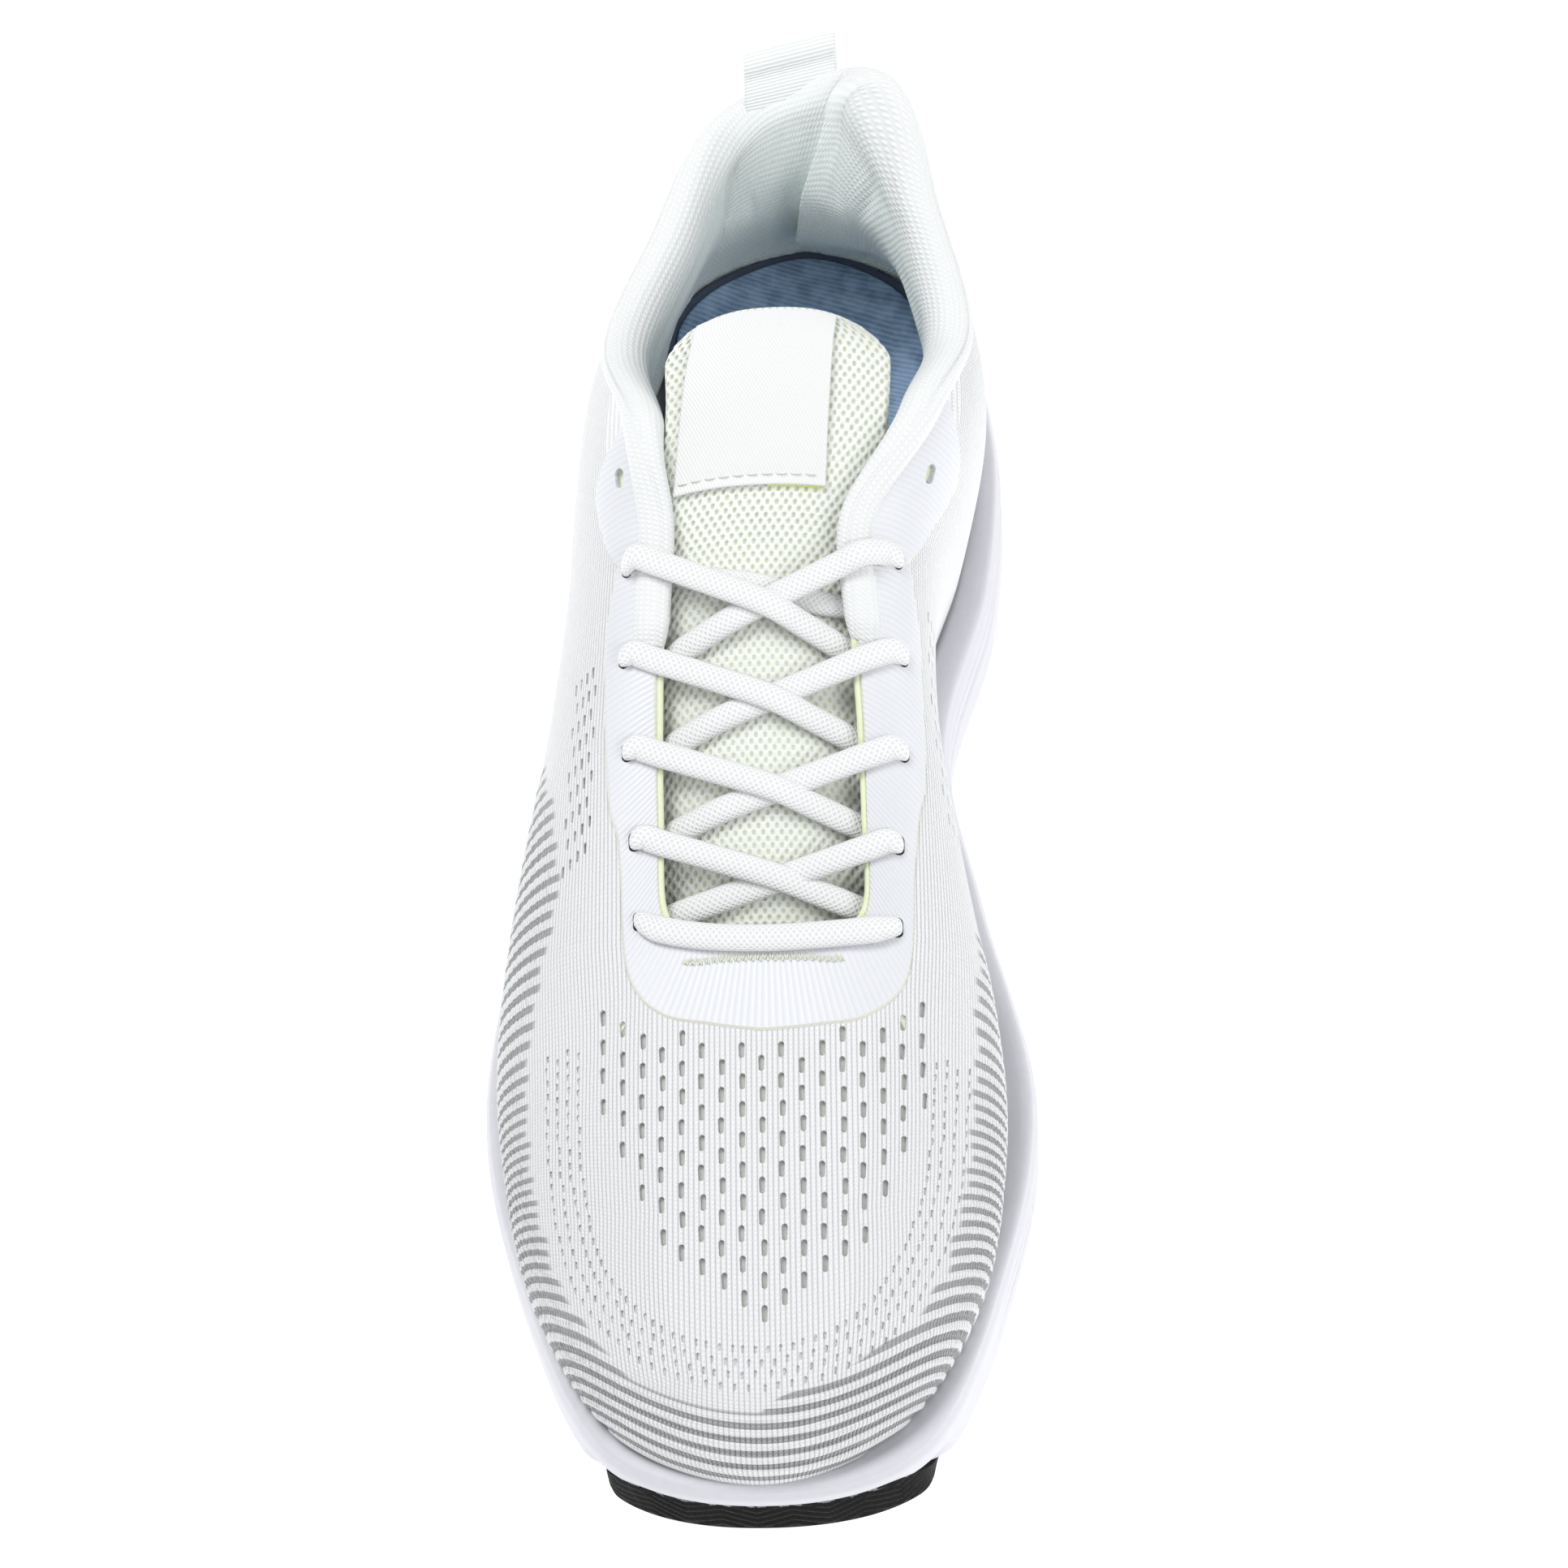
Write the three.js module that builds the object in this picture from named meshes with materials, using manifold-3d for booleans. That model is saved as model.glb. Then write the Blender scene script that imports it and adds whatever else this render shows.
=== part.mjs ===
// A right-foot running shoe: sole stack, knitted upper, padded collar, tongue, lace and trims.
// Millimetres. Toe towards -Y, heel towards +Y, medial (inner) side +X, +Z up, ground at z = 0.
import * as THREE from 'three';
import { mergeVertices } from 'three/addons/utils/BufferGeometryUtils.js';
import Module from 'manifold-3d';

const wasm = await Module();
wasm.setup();

// ---------------------------------------------------------------- driving dimensions
const GAP = 0.25;                 // air between neighbouring pieces
const OUTSOLE_THICKNESS = 3.4;
const RECESS_DEPTH = 9;           // how far the midsole's foot bed lies below its rim
const STROBEL_THICKNESS = 1.8;
const SOCKLINER_THICKNESS = 4;    // under the forefoot
const HEEL_CUP_RISE = 4;          // extra sockliner thickness under the heel
const COVER_THICKNESS = 0.8;
const KNIT_THICKNESS = 1.0;
const LINING_THICKNESS = 0.5;
const LINING_DEPTH = 2.05;        // outer face of the vamp lining below the knit's outer face
const COUNTER_THICKNESS = 1.2;
const PUFF_THICKNESS = 0.6;
const BACKING_THICKNESS = 0.4;
const OVERLAY_THICKNESS = 0.6;
const COLLAR_FOAM_DEPTH = 2.7;
const COLLAR_PADDING = 6;
const EYELET_RADIUS = 2.4;
const EYELET_SETBACK = { lateral: 8.5, medial: 11.5 };   // eyelet centre to throat edge
const LACE_HALF_WIDTH = 2.6;
const LACE_HALF_THICKNESS = 1.1;
const BALL_Y = -62;               // toe joint line across the ball of the foot
const BALL_Z = 12;
const TOE_FLEX_DEGREES = 31;      // wedge left open above the toe joint

const TREAD_FRONT = -95;          // the sole touches the ground between these two y values
const TREAD_BACK = 115;
const TOE_SPRING = 14.5;            // height of the sole's underside at the toe tip
const HEEL_BEVEL = 8;             // and at the heel tip
const FOREFOOT_RUBBER_END = -8;   // the arch is bare foam between the two rubber pieces
const HEEL_RUBBER_START = 24;

// The sole's outline seen from above: lateral x and medial x at each y, between toe and heel tips.
const TOE_TIP = [2, -149];
const HEEL_TIP = [11, 147.5];
const SOLE_WIDTHS = [
  { y: -139, lateral: -30, medial: 34 },
  { y: -100, lateral: -49, medial: 51 },
  { y: -60, lateral: -57, medial: 57.5 },
  { y: -15, lateral: -51.5, medial: 47.5 },
  { y: 22, lateral: -44, medial: 41 },
  { y: 60, lateral: -37.5, medial: 51 },
  { y: 98, lateral: -32, medial: 53 },
  { y: 130, lateral: -23.5, medial: 43 },
];

// Height of the line where the upper meets the midsole, along the shoe: [y, z].
const BITE_LINE = [[-150, 32], [-108, 29], [-65, 28], [-22, 29.5], [8, 32], [36, 34.5], [62, 37.5],
  [90, 39], [118, 40], [150, 40]];

// The upper is a closed band. At each station a cubic curve climbs from the bite line (foot: x, y)
// through two guide points to the rim, which is the throat edge in front and the topline behind.
const TOE_STATION = { foot: [2, -145.8], low: [2, -150.5, 46], high: [3, -98, 60], rim: [3.5, -43, 66.2] };
const LATERAL_STATIONS = [
  { foot: [-26, -136], low: [-30, -140, 46], high: [-14, -95, 60], rim: [-4, -43, 66.2] },
  { foot: [-43, -109], low: [-49, -111, 46], high: [-27, -84, 60], rim: [-11, -42.5, 66.3] },
  { foot: [-50, -78], low: [-57, -78, 46], high: [-34, -66, 61], rim: [-16.5, -36, 67.3] },
  { foot: [-52, -52], low: [-58, -50, 48], high: [-36, -42, 68], rim: [-17, -18, 72] },
  { foot: [-49, -22], low: [-55, -20, 50], high: [-36, -14, 76], rim: [-17, 0, 78] },
  { foot: [-43, 8], low: [-49, 10, 54], high: [-36, 14, 84], rim: [-16.5, 20, 85] },
  { foot: [-39, 36], low: [-44, 38, 58], high: [-35, 40, 92], rim: [-15.5, 42, 93] },
  { foot: [-35, 62], low: [-41, 62, 60], high: [-38, 62, 88], rim: [-20, 60, 101] },
  { foot: [-31, 90], low: [-38, 90, 56], high: [-36, 91, 77], rim: [-27, 88, 90] },
  { foot: [-23, 118], low: [-29, 120, 58], high: [-27, 117, 79], rim: [-17, 115, 93] },
  { foot: [-11, 135], low: [-17, 141, 58], high: [-14, 133, 82], rim: [-6, 136, 101] },
];
const HEEL_STATION = { foot: [11, 142], low: [11, 151, 58], high: [11, 140, 84], rim: [11, 143.5, 104.5] };
const MEDIAL_STATIONS = [
  { foot: [28, -135], low: [32, -139, 46], high: [20, -95, 60], rim: [11, -43, 66.2] },
  { foot: [44, -109], low: [50, -111, 45], high: [32, -84, 60], rim: [18, -42.5, 66.3] },
  { foot: [49, -78], low: [56, -78, 45], high: [40, -66, 61], rim: [24, -36, 67.3] },
  { foot: [48, -52], low: [54, -50, 48], high: [42, -42, 68], rim: [24, -18, 73] },
  { foot: [42, -22], low: [47, -20, 52], high: [43, -14, 77], rim: [23.5, 0, 79] },
  { foot: [36, 8], low: [41, 10, 58], high: [43, 14, 85], rim: [22.5, 20, 86] },
  { foot: [36, 36], low: [41, 38, 62], high: [46, 40, 91], rim: [22.5, 41, 94.5] },
  { foot: [44, 62], low: [48.5, 62, 64], high: [52.5, 62, 90], rim: [38, 62, 102] },
  { foot: [47.5, 90], low: [52, 90, 58], high: [52.5, 91, 79], rim: [45.5, 90, 90] },
  { foot: [41, 118], low: [47, 120, 60], high: [46, 117, 82], rim: [39.5, 117, 97] },
  { foot: [31, 135], low: [38, 140, 58], high: [36, 134, 86], rim: [32.5, 138, 109.5] },
];

// The tongue's outer face along its centre line: height, centre x, half width, drop at its edges.
const TONGUE_LINE = [
  { y: -51, z: 59.6, x: 3.5, half: 15, drop: 2 },
  { y: -43, z: 60.6, x: 3.5, half: 18, drop: 3 },
  { y: -33, z: 64.6, x: 3.5, half: 23, drop: 8 },
  { y: -18, z: 71, x: 3.5, half: 27, drop: 10 },
  { y: 0, z: 77.5, x: 3.3, half: 28, drop: 11 },
  { y: 20, z: 84.5, x: 3.2, half: 28, drop: 11 },
  { y: 31.5, z: 89, x: 3.4, half: 28, drop: 12 },
];
const FLAP_LINE = [
  { y: 33.6, z: 90, x: 3.3, half: 17, drop: 4 },
  { y: 45, z: 96, x: 5, half: 18, drop: 4 },
  { y: 60, z: 104, x: 8, half: 23, drop: 5 },
  { y: 72, z: 110.5, x: 10, half: 24, drop: 6 },
  { y: 79, z: 115, x: 10.5, half: 20, drop: 6 },
];

// ---------------------------------------------------------------- small maths helpers
const vec = (x, y, z) => new THREE.Vector3(x, y, z);
const mix = (a, b, t) => a + (b - a) * t;

function smooth(from, to, value) {
  const t = Math.min(1, Math.max(0, (value - from) / (to - from)));
  return t * t * (3 - 2 * t);
}

// Height along a list of [y, z] knots, in straight runs between them.
function heightAlong(knots, y) {
  let i = 0;
  while (i < knots.length - 2 && y > knots[i + 1][0]) i += 1;
  const [y0, z0] = knots[i];
  const [y1, z1] = knots[i + 1];
  return mix(z0, z1, Math.min(1, Math.max(0, (y - y0) / (y1 - y0))));
}

const biteHeight = (y) => heightAlong(BITE_LINE, y);

// Underside of the sole: flat on the ground, sprung up at the toe and rounded at the heel.
function groundHeight(y) {
  const toeSpring = TOE_SPRING * (Math.max(0, TREAD_FRONT - y) / (TREAD_FRONT - TOE_TIP[1])) ** 2;
  const heelBevel = HEEL_BEVEL * (Math.max(0, y - TREAD_BACK) / (HEEL_TIP[1] - TREAD_BACK)) ** 2;
  return toeSpring + heelBevel;
}

// ---------------------------------------------------------------- solids from grids
// A BufferGeometry from points and index triples.
function geometryFrom(points, triangles) {
  const geometry = new THREE.BufferGeometry();
  const position = new Float32Array(points.length * 3);
  points.forEach((point, i) => point.toArray(position, i * 3));
  geometry.setAttribute('position', new THREE.BufferAttribute(position, 3));
  geometry.setIndex(triangles.flat());
  geometry.computeVertexNormals();
  return geometry;
}

function quad(triangles, a, b, c, d) {
  triangles.push([a, b, c], [a, c, d]);
}

const range = (from, to) => Array.from({ length: to - from + 1 }, (_, k) => from + k);
const constant = (value) => () => value;

// A sheet with thickness on surface(i, j), which gives a point and the outward normal. It spans the
// listed columns, and rows(i) lists the rows at column i; outer and inner are depths below the
// surface. A closed sheet joins its last column to its first.
function sheet({ surface, columns, rows, outer, inner, closed = false }) {
  const rowCount = rows(columns[0]).length;
  const points = [];
  [outer, inner].forEach((depth) => columns.forEach((i) => rows(i).forEach((j) => {
    const { point, normal } = surface(i, j);
    points.push(point.addScaledVector(normal, -depth(i, j)));
  })));
  const at = (c, r, side) => (side * columns.length + (c % columns.length)) * rowCount + r;
  const cells = closed ? columns.length : columns.length - 1;
  const last = rowCount - 1;
  const triangles = [];
  for (let c = 0; c < cells; c += 1) {
    for (let r = 0; r < last; r += 1) {
      quad(triangles, at(c, r, 0), at(c, r + 1, 0), at(c + 1, r + 1, 0), at(c + 1, r, 0));
      quad(triangles, at(c, r, 1), at(c + 1, r, 1), at(c + 1, r + 1, 1), at(c, r + 1, 1));
    }
    quad(triangles, at(c, 0, 0), at(c + 1, 0, 0), at(c + 1, 0, 1), at(c, 0, 1));
    quad(triangles, at(c, last, 0), at(c, last, 1), at(c + 1, last, 1), at(c + 1, last, 0));
  }
  if (!closed) {
    for (let r = 0; r < last; r += 1) {
      quad(triangles, at(0, r, 0), at(0, r, 1), at(0, r + 1, 1), at(0, r + 1, 0));
      quad(triangles, at(cells, r, 0), at(cells, r + 1, 0), at(cells, r + 1, 1), at(cells, r, 1));
    }
  }
  return geometryFrom(points, triangles);
}

// Surface point and unit normal from a position function, by central differences.
function framed(position, i, j, iStep, jStep) {
  const along = position(i + iStep, j).sub(position(i - iStep, j));
  const across = position(i, j + jStep).sub(position(i, j - jStep));
  return { point: position(i, j), normal: along.cross(across).normalize() };
}

// ---------------------------------------------------------------- the upper's surface
const STATIONS = [TOE_STATION, ...LATERAL_STATIONS, HEEL_STATION, ...MEDIAL_STATIONS.toReversed()];
const COLUMNS = STATIONS.length * 2;     // columns of the mesh around the foot
const ROWS = 8;                          // rows of the mesh from bite line to rim
const HEEL_COLUMN = COLUMNS / 2;
const THROAT_CORNER_COLUMN = 4.5;        // where the throat's front edge turns into its side
const COLLAR_CORNER_COLUMN = 16;         // where the throat's side turns into the topline

function stationCurve(pick) {
  return new THREE.CatmullRomCurve3(STATIONS.map(pick), true, 'catmullrom', 0.5);
}
const upperGuides = [
  stationCurve((s) => vec(s.foot[0], s.foot[1], biteHeight(s.foot[1]))),
  stationCurve((s) => vec(...s.low)),
  stationCurve((s) => vec(...s.high)),
  stationCurve((s) => vec(...s.rim)),
];

function upperPosition(column, row) {
  const turn = (((column / COLUMNS) % 1) + 1) % 1;
  const t = row / ROWS;
  const weights = [(1 - t) ** 3, 3 * t * (1 - t) ** 2, 3 * t * t * (1 - t), t ** 3];
  const point = vec(0, 0, 0);
  upperGuides.forEach((guide, k) => point.addScaledVector(guide.getPoint(turn), weights[k]));
  return point;
}

// Columns run from the toe along the lateral side to the heel and back along the medial side.
function upperSurface(column, row) {
  const { point, normal } = framed(upperPosition, column, row, 0.05, 0.02);
  return { point, normal: normal.negate() };
}

const upperSheet = (options) => sheet({ surface: upperSurface, ...options });

// Point and normal on the upper at a distance outside the throat edge, where the rim passes y.
function besideThroat(isLateral, y, setback) {
  const column = (middle) => (isLateral ? middle : COLUMNS - middle);
  let low = THROAT_CORNER_COLUMN;
  let high = COLLAR_CORNER_COLUMN;
  for (let k = 0; k < 40; k += 1) {
    const middle = (low + high) / 2;
    if (upperPosition(column(middle), ROWS).y < y) low = middle;
    else high = middle;
  }
  const rim = upperPosition(column(low), ROWS);
  let row = ROWS;
  while (upperPosition(column(low), row).distanceTo(rim) < setback) row -= 0.01;
  return upperSurface(column(low), row);
}

// ---------------------------------------------------------------- manifold joins and cuts
function solidOf(geometry) {
  const bare = geometry.clone();
  bare.deleteAttribute('normal');
  bare.deleteAttribute('uv');
  const merged = mergeVertices(bare, 1e-4);
  const mesh = new wasm.Mesh({
    numProp: 3,
    vertProperties: new Float32Array(merged.attributes.position.array),
    triVerts: new Uint32Array(merged.index.array),
  });
  return new wasm.Manifold(mesh);
}

function geometryOf(solid) {
  const mesh = solid.getMesh();
  const geometry = new THREE.BufferGeometry();
  geometry.setAttribute('position', new THREE.BufferAttribute(new Float32Array(mesh.vertProperties), 3));
  geometry.setIndex(Array.from(mesh.triVerts));
  geometry.computeVertexNormals();
  return geometry;
}

// Turns a shape drawn in (y, z) into a prism along x, centred on the given x.
function alongX(shape, width, x, curveSegments = 1) {
  const geometry = new THREE.ExtrudeGeometry(shape, { depth: width, bevelEnabled: false, curveSegments });
  const axes = new THREE.Matrix4().makeBasis(vec(0, 1, 0), vec(0, 0, 1), vec(1, 0, 0));
  return geometry.applyMatrix4(axes).translate(x - width / 2, 0, 0);
}

const FAR = 200;
const BELOW = -10;
const crossPrism = (outline) => (
  alongX(new THREE.Shape(outline.map(([y, z]) => new THREE.Vector2(y, z))), FAR, 0));
const wedgeRun = (FAR - BALL_Z) * Math.tan(THREE.MathUtils.degToRad(TOE_FLEX_DEGREES));
const cutFront = BALL_Y - GAP / 2;
const toeOfBall = solidOf(crossPrism([[-FAR, BELOW], [cutFront, BELOW], [cutFront, BALL_Z],
  [cutFront - wedgeRun, FAR], [-FAR - wedgeRun, FAR]]));
const rearOfBall = slabBetween(BALL_Y + GAP / 2, FAR);

// The part of space between two y values.
function slabBetween(yMin, yMax) {
  return solidOf(crossPrism([[yMin, BELOW], [yMax, BELOW], [yMax, FAR], [yMin, FAR]]));
}

// Splits a piece at the ball of the foot; the toe half leaves a wedge open so that it can bend up.
function splitAtBall(geometry) {
  const solid = solidOf(geometry);
  return { rear: geometryOf(solid.intersect(rearOfBall)), toe: geometryOf(solid.intersect(toeOfBall)) };
}

// ---------------------------------------------------------------- sole rings
const outlineCurve = new THREE.CatmullRomCurve3([
  vec(...TOE_TIP, 0),
  ...SOLE_WIDTHS.map((s) => vec(s.lateral, s.y, 0)),
  vec(...HEEL_TIP, 0),
  ...SOLE_WIDTHS.toReversed().map((s) => vec(s.medial, s.y, 0)),
], true, 'catmullrom', 0.5);
const POINTS_PER_SPAN = 3;
const RING_POINTS = (SOLE_WIDTHS.length + 1) * 2 * POINTS_PER_SPAN;
const CAP_STRIPS = 4;

// A ring round the sole: inset and height are functions of the outline point's y.
function soleRing(inset, height) {
  const ring = [];
  for (let i = 0; i < RING_POINTS; i += 1) {
    const t = i / RING_POINTS;
    const point = outlineCurve.getPoint(t);
    const tangent = outlineCurve.getTangent(t);
    const inward = vec(tangent.y, -tangent.x, 0).normalize();
    const moved = point.clone().addScaledVector(inward, inset(point.y));
    ring.push(vec(moved.x, moved.y, height(moved.y)));
  }
  return ring;
}

// Closed solid through rings from bottom to top. The caps are strips between opposite points.
function ringSolid(rings, bottomHeight, topHeight) {
  const points = rings.flat();
  const triangles = [];
  const n = RING_POINTS;
  rings.slice(1).forEach((_, r) => {
    for (let i = 0; i < n; i += 1) {
      const next = (i + 1) % n;
      quad(triangles, r * n + i, r * n + n + i, r * n + n + next, r * n + next);
    }
  });
  const cap = (ringIndex, height, facesUp) => {
    const start = ringIndex * n;
    const rungs = [];
    for (let i = 1; i < n / 2; i += 1) {
      const a = points[start + i];
      const b = points[start + n - i];
      const rung = [start + i];
      for (let k = 1; k < CAP_STRIPS; k += 1) {
        const inner = a.clone().lerp(b, k / CAP_STRIPS);
        rung.push(points.push(vec(inner.x, inner.y, height(inner.y))) - 1);
      }
      rung.push(start + n - i);
      rungs.push(rung);
    }
    const add = (a, b, c) => triangles.push(facesUp ? [a, b, c] : [a, c, b]);
    for (let k = 0; k < CAP_STRIPS; k += 1) {
      add(start, rungs[0][k + 1], rungs[0][k]);
      add(start + n / 2, rungs.at(-1)[k], rungs.at(-1)[k + 1]);
      rungs.slice(1).forEach((rung, i) => {
        add(rungs[i][k], rungs[i][k + 1], rung[k + 1]);
        add(rungs[i][k], rung[k + 1], rung[k]);
      });
    }
  };
  cap(0, bottomHeight, false);
  cap(rings.length - 1, topHeight, true);
  return geometryFrom(points, triangles);
}

const toeWrap = (y) => smooth(-112, -132, y);       // 1 where rubber wraps up over the toe
const toeSetBack = (y) => smooth(-102, -111, y);    // 1 where the foam stands back behind that rubber
const recessInset = (y) => 9 + 6 * smooth(-100, -135, y);
const footBed = (y) => biteHeight(y) - RECESS_DEPTH;

function midsoleGeometry() {
  const rimTop = (y) => biteHeight(y) - GAP;
  const under = (y) => groundHeight(y) + OUTSOLE_THICKNESS + GAP;
  const wall = (y) => mix(0, 3.9, toeSetBack(y));
  return ringSolid([
    soleRing((y) => 5 + wall(y) * 0.5, under),
    soleRing((y) => 1.2 + wall(y), (y) => under(y) + 4),
    soleRing(wall, (y) => mix(under(y), rimTop(y), 0.55)),
    soleRing(wall, (y) => rimTop(y) - 4.4),
    soleRing((y) => mix(0, 0.5, toeSetBack(y)), (y) => rimTop(y) - 3.6),
    soleRing(() => 1.2, rimTop),
    soleRing(recessInset, rimTop),
    soleRing((y) => recessInset(y) + 0.8, footBed),
  ], under, footBed);
}

function outsoleGeometry() {
  const top = (y) => groundHeight(y) + OUTSOLE_THICKNESS;
  const wallTop = (y) => mix(top(y), biteHeight(y) - 5.2, toeWrap(y));
  return ringSolid([
    soleRing((y) => mix(6, 4, toeSetBack(y)), groundHeight),
    soleRing((y) => mix(4.6, 0.8, toeSetBack(y)), (y) => groundHeight(y) + 1.4),
    soleRing((y) => mix(4.4, 0, toeSetBack(y)), wallTop),
    soleRing((y) => mix(6, 2.9, toeSetBack(y)), wallTop),
    soleRing((y) => mix(7, 4.4, toeSetBack(y)), top),
  ], groundHeight, top);
}

// Height of the sockliner's top above the foot bed: it thickens towards the heel.
const soleLift = GAP + STROBEL_THICKNESS + GAP;
const sockTop = (y) => soleLift + SOCKLINER_THICKNESS + HEEL_CUP_RISE * smooth(20, 90, y);

// A sole layer inside the upper, between two heights above the foot bed.
function innerLayer(extraInset, from, to) {
  const inset = (y) => recessInset(y) + extraInset;
  const bottom = (y) => footBed(y) + from(y);
  const top = (y) => footBed(y) + to(y);
  return ringSolid([soleRing(inset, bottom), soleRing(inset, top)], bottom, top);
}

// ---------------------------------------------------------------- tongue surface
const TONGUE_ROWS = 6;
const TONGUE_CROWN = 2.2;      // exponent of the cross-section: flat on top, falling at the edges
function tonguePosition(line) {
  const curve = new THREE.CatmullRomCurve3(line.map((s) => vec(s.x, s.y, s.z)), false, 'catmullrom', 0.5);
  const sizes = new THREE.CatmullRomCurve3(line.map((s) => vec(s.half, s.drop, 0)), false, 'catmullrom', 0.5);
  return (column, row) => {
    const t = Math.min(1, Math.max(0, column / (2 * (line.length - 1))));
    const across = (row / TONGUE_ROWS) * 2 - 1;
    const centre = curve.getPoint(t);
    const { x: half, y: drop } = sizes.getPoint(t);
    return vec(centre.x + half * across, centre.y, centre.z - drop * Math.abs(across) ** TONGUE_CROWN);
  };
}

function tongueSheet(line, outer, inner, columns, rows = range(0, TONGUE_ROWS)) {
  const position = tonguePosition(line);
  const surface = (i, j) => framed(position, i, j, 0.02, 0.02);
  return sheet({
    surface, columns, rows: constant(rows), outer: constant(-outer), inner: constant(-inner),
  });
}

const TONGUE_LAYERS = { mesh: [0, 1.2], foam: [1.2 + GAP, 4.2], lining: [4.2 + GAP, 5] };

// ---------------------------------------------------------------- eyelets and lace
const EYELET_Y = [-32, -16.5, 0, 17, 34, 51];       // six rows, from toe to ankle
const lateralEyelets = EYELET_Y.map((y) => besideThroat(true, y, EYELET_SETBACK.lateral));
const medialEyelets = EYELET_Y.map((y) => besideThroat(false, y, EYELET_SETBACK.medial));

function eyeletCutter() {
  const cutters = [...lateralEyelets, ...medialEyelets].map(({ point, normal }) => {
    const turn = new THREE.Quaternion().setFromUnitVectors(vec(0, 1, 0), normal);
    const pin = new THREE.CylinderGeometry(EYELET_RADIUS, EYELET_RADIUS, 10, 8).applyQuaternion(turn);
    return solidOf(pin.translate(...point.toArray()));
  });
  return cutters.reduce((joined, cutter) => joined.add(cutter));
}
const allEyelets = eyeletCutter();
const punched = (geometry) => geometryOf(solidOf(geometry).subtract(allEyelets));

// The lace's centre line: over the top at row 1, down each eyelet, under the throat edge and up
// across the tongue to the next row on the other side. Each entry is [point, half width].
const OVER = GAP + OVERLAY_THICKNESS + GAP + LACE_HALF_THICKNESS + 0.4;
const UNDER = LINING_DEPTH + LINING_THICKNESS + LACE_HALF_THICKNESS + 0.75;
const IN_EYELET = 1.2;                             // half width where an eyelet squeezes the lace
const LOWER_CROSSING = LACE_HALF_THICKNESS + 1.1;  // centre heights over the tongue
const UPPER_CROSSING = LOWER_CROSSING + 2 * LACE_HALF_THICKNESS + 0.6;
const LACED_ROWS = 5;

const raise = ({ point, normal }, height) => point.clone().addScaledVector(normal, height);

// Height of the tongue's outer face at a point seen from above.
function tongueHeight(x, y) {
  const line = [...TONGUE_LINE, ...FLAP_LINE];
  const [z, middle, half, drop] = ['z', 'x', 'half', 'drop'].map((key) => (
    heightAlong(line.map((s) => [s.y, s[key]]), y)));
  return z - drop * Math.abs((x - middle) / half) ** TONGUE_CROWN;
}

function throughEyelet(hole) {
  return [
    [raise(hole, OVER), IN_EYELET + 0.5],
    [raise(hole, -1), IN_EYELET],
    [raise(hole, -UNDER), IN_EYELET + 0.3],
  ];
}

// From under one throat edge, over the tongue, to just short of the opposite edge.
function overTongue(start, end, crossing) {
  const heights = [[0.2, LOWER_CROSSING], [0.45, crossing], [0.72, mix(LOWER_CROSSING, crossing, 0.6)]];
  return heights.map(([share, height]) => {
    const point = start.clone().lerp(end, share);
    point.z = tongueHeight(point.x, point.y) + height;
    return [point, LACE_HALF_WIDTH];
  });
}

function laceHalf(startsLateral) {
  const path = [];
  for (let row = 0; row < LACED_ROWS; row += 1) {
    const isLateral = (row % 2 === 0) === startsLateral;
    const holes = isLateral ? lateralEyelets : medialEyelets;
    const opposite = isLateral ? medialEyelets : lateralEyelets;
    const edge = besideThroat(isLateral, EYELET_Y[row] - 1.5, 1.5);
    path.push([raise(edge, OVER + 0.3), LACE_HALF_WIDTH], ...throughEyelet(holes[row]));
    if (row === LACED_ROWS - 1) break;
    const exit = besideThroat(isLateral, EYELET_Y[row] + 3, 1.5);
    path.push([raise(exit, -UNDER), LACE_HALF_WIDTH - 0.4]);
    const crossing = isLateral ? LOWER_CROSSING : UPPER_CROSSING;
    path.push(...overTongue(exit.point, opposite[row + 1].point, crossing));
  }
  const last = path.at(-1)[0];
  const inward = startsLateral ? 1 : -1;
  path.push([vec(last.x + inward * 3, last.y + 8, last.z - 3), LACE_HALF_WIDTH - 0.6]);
  path.push([vec(last.x + inward * 4, last.y + 16, last.z - 5), LACE_HALF_WIDTH - 0.8]);
  return path;
}

const lacePath = [...laceHalf(true).toReversed(), ...laceHalf(false)];
const LACE_STEPS = 2;
const LACE_SIDES = 6;

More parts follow.
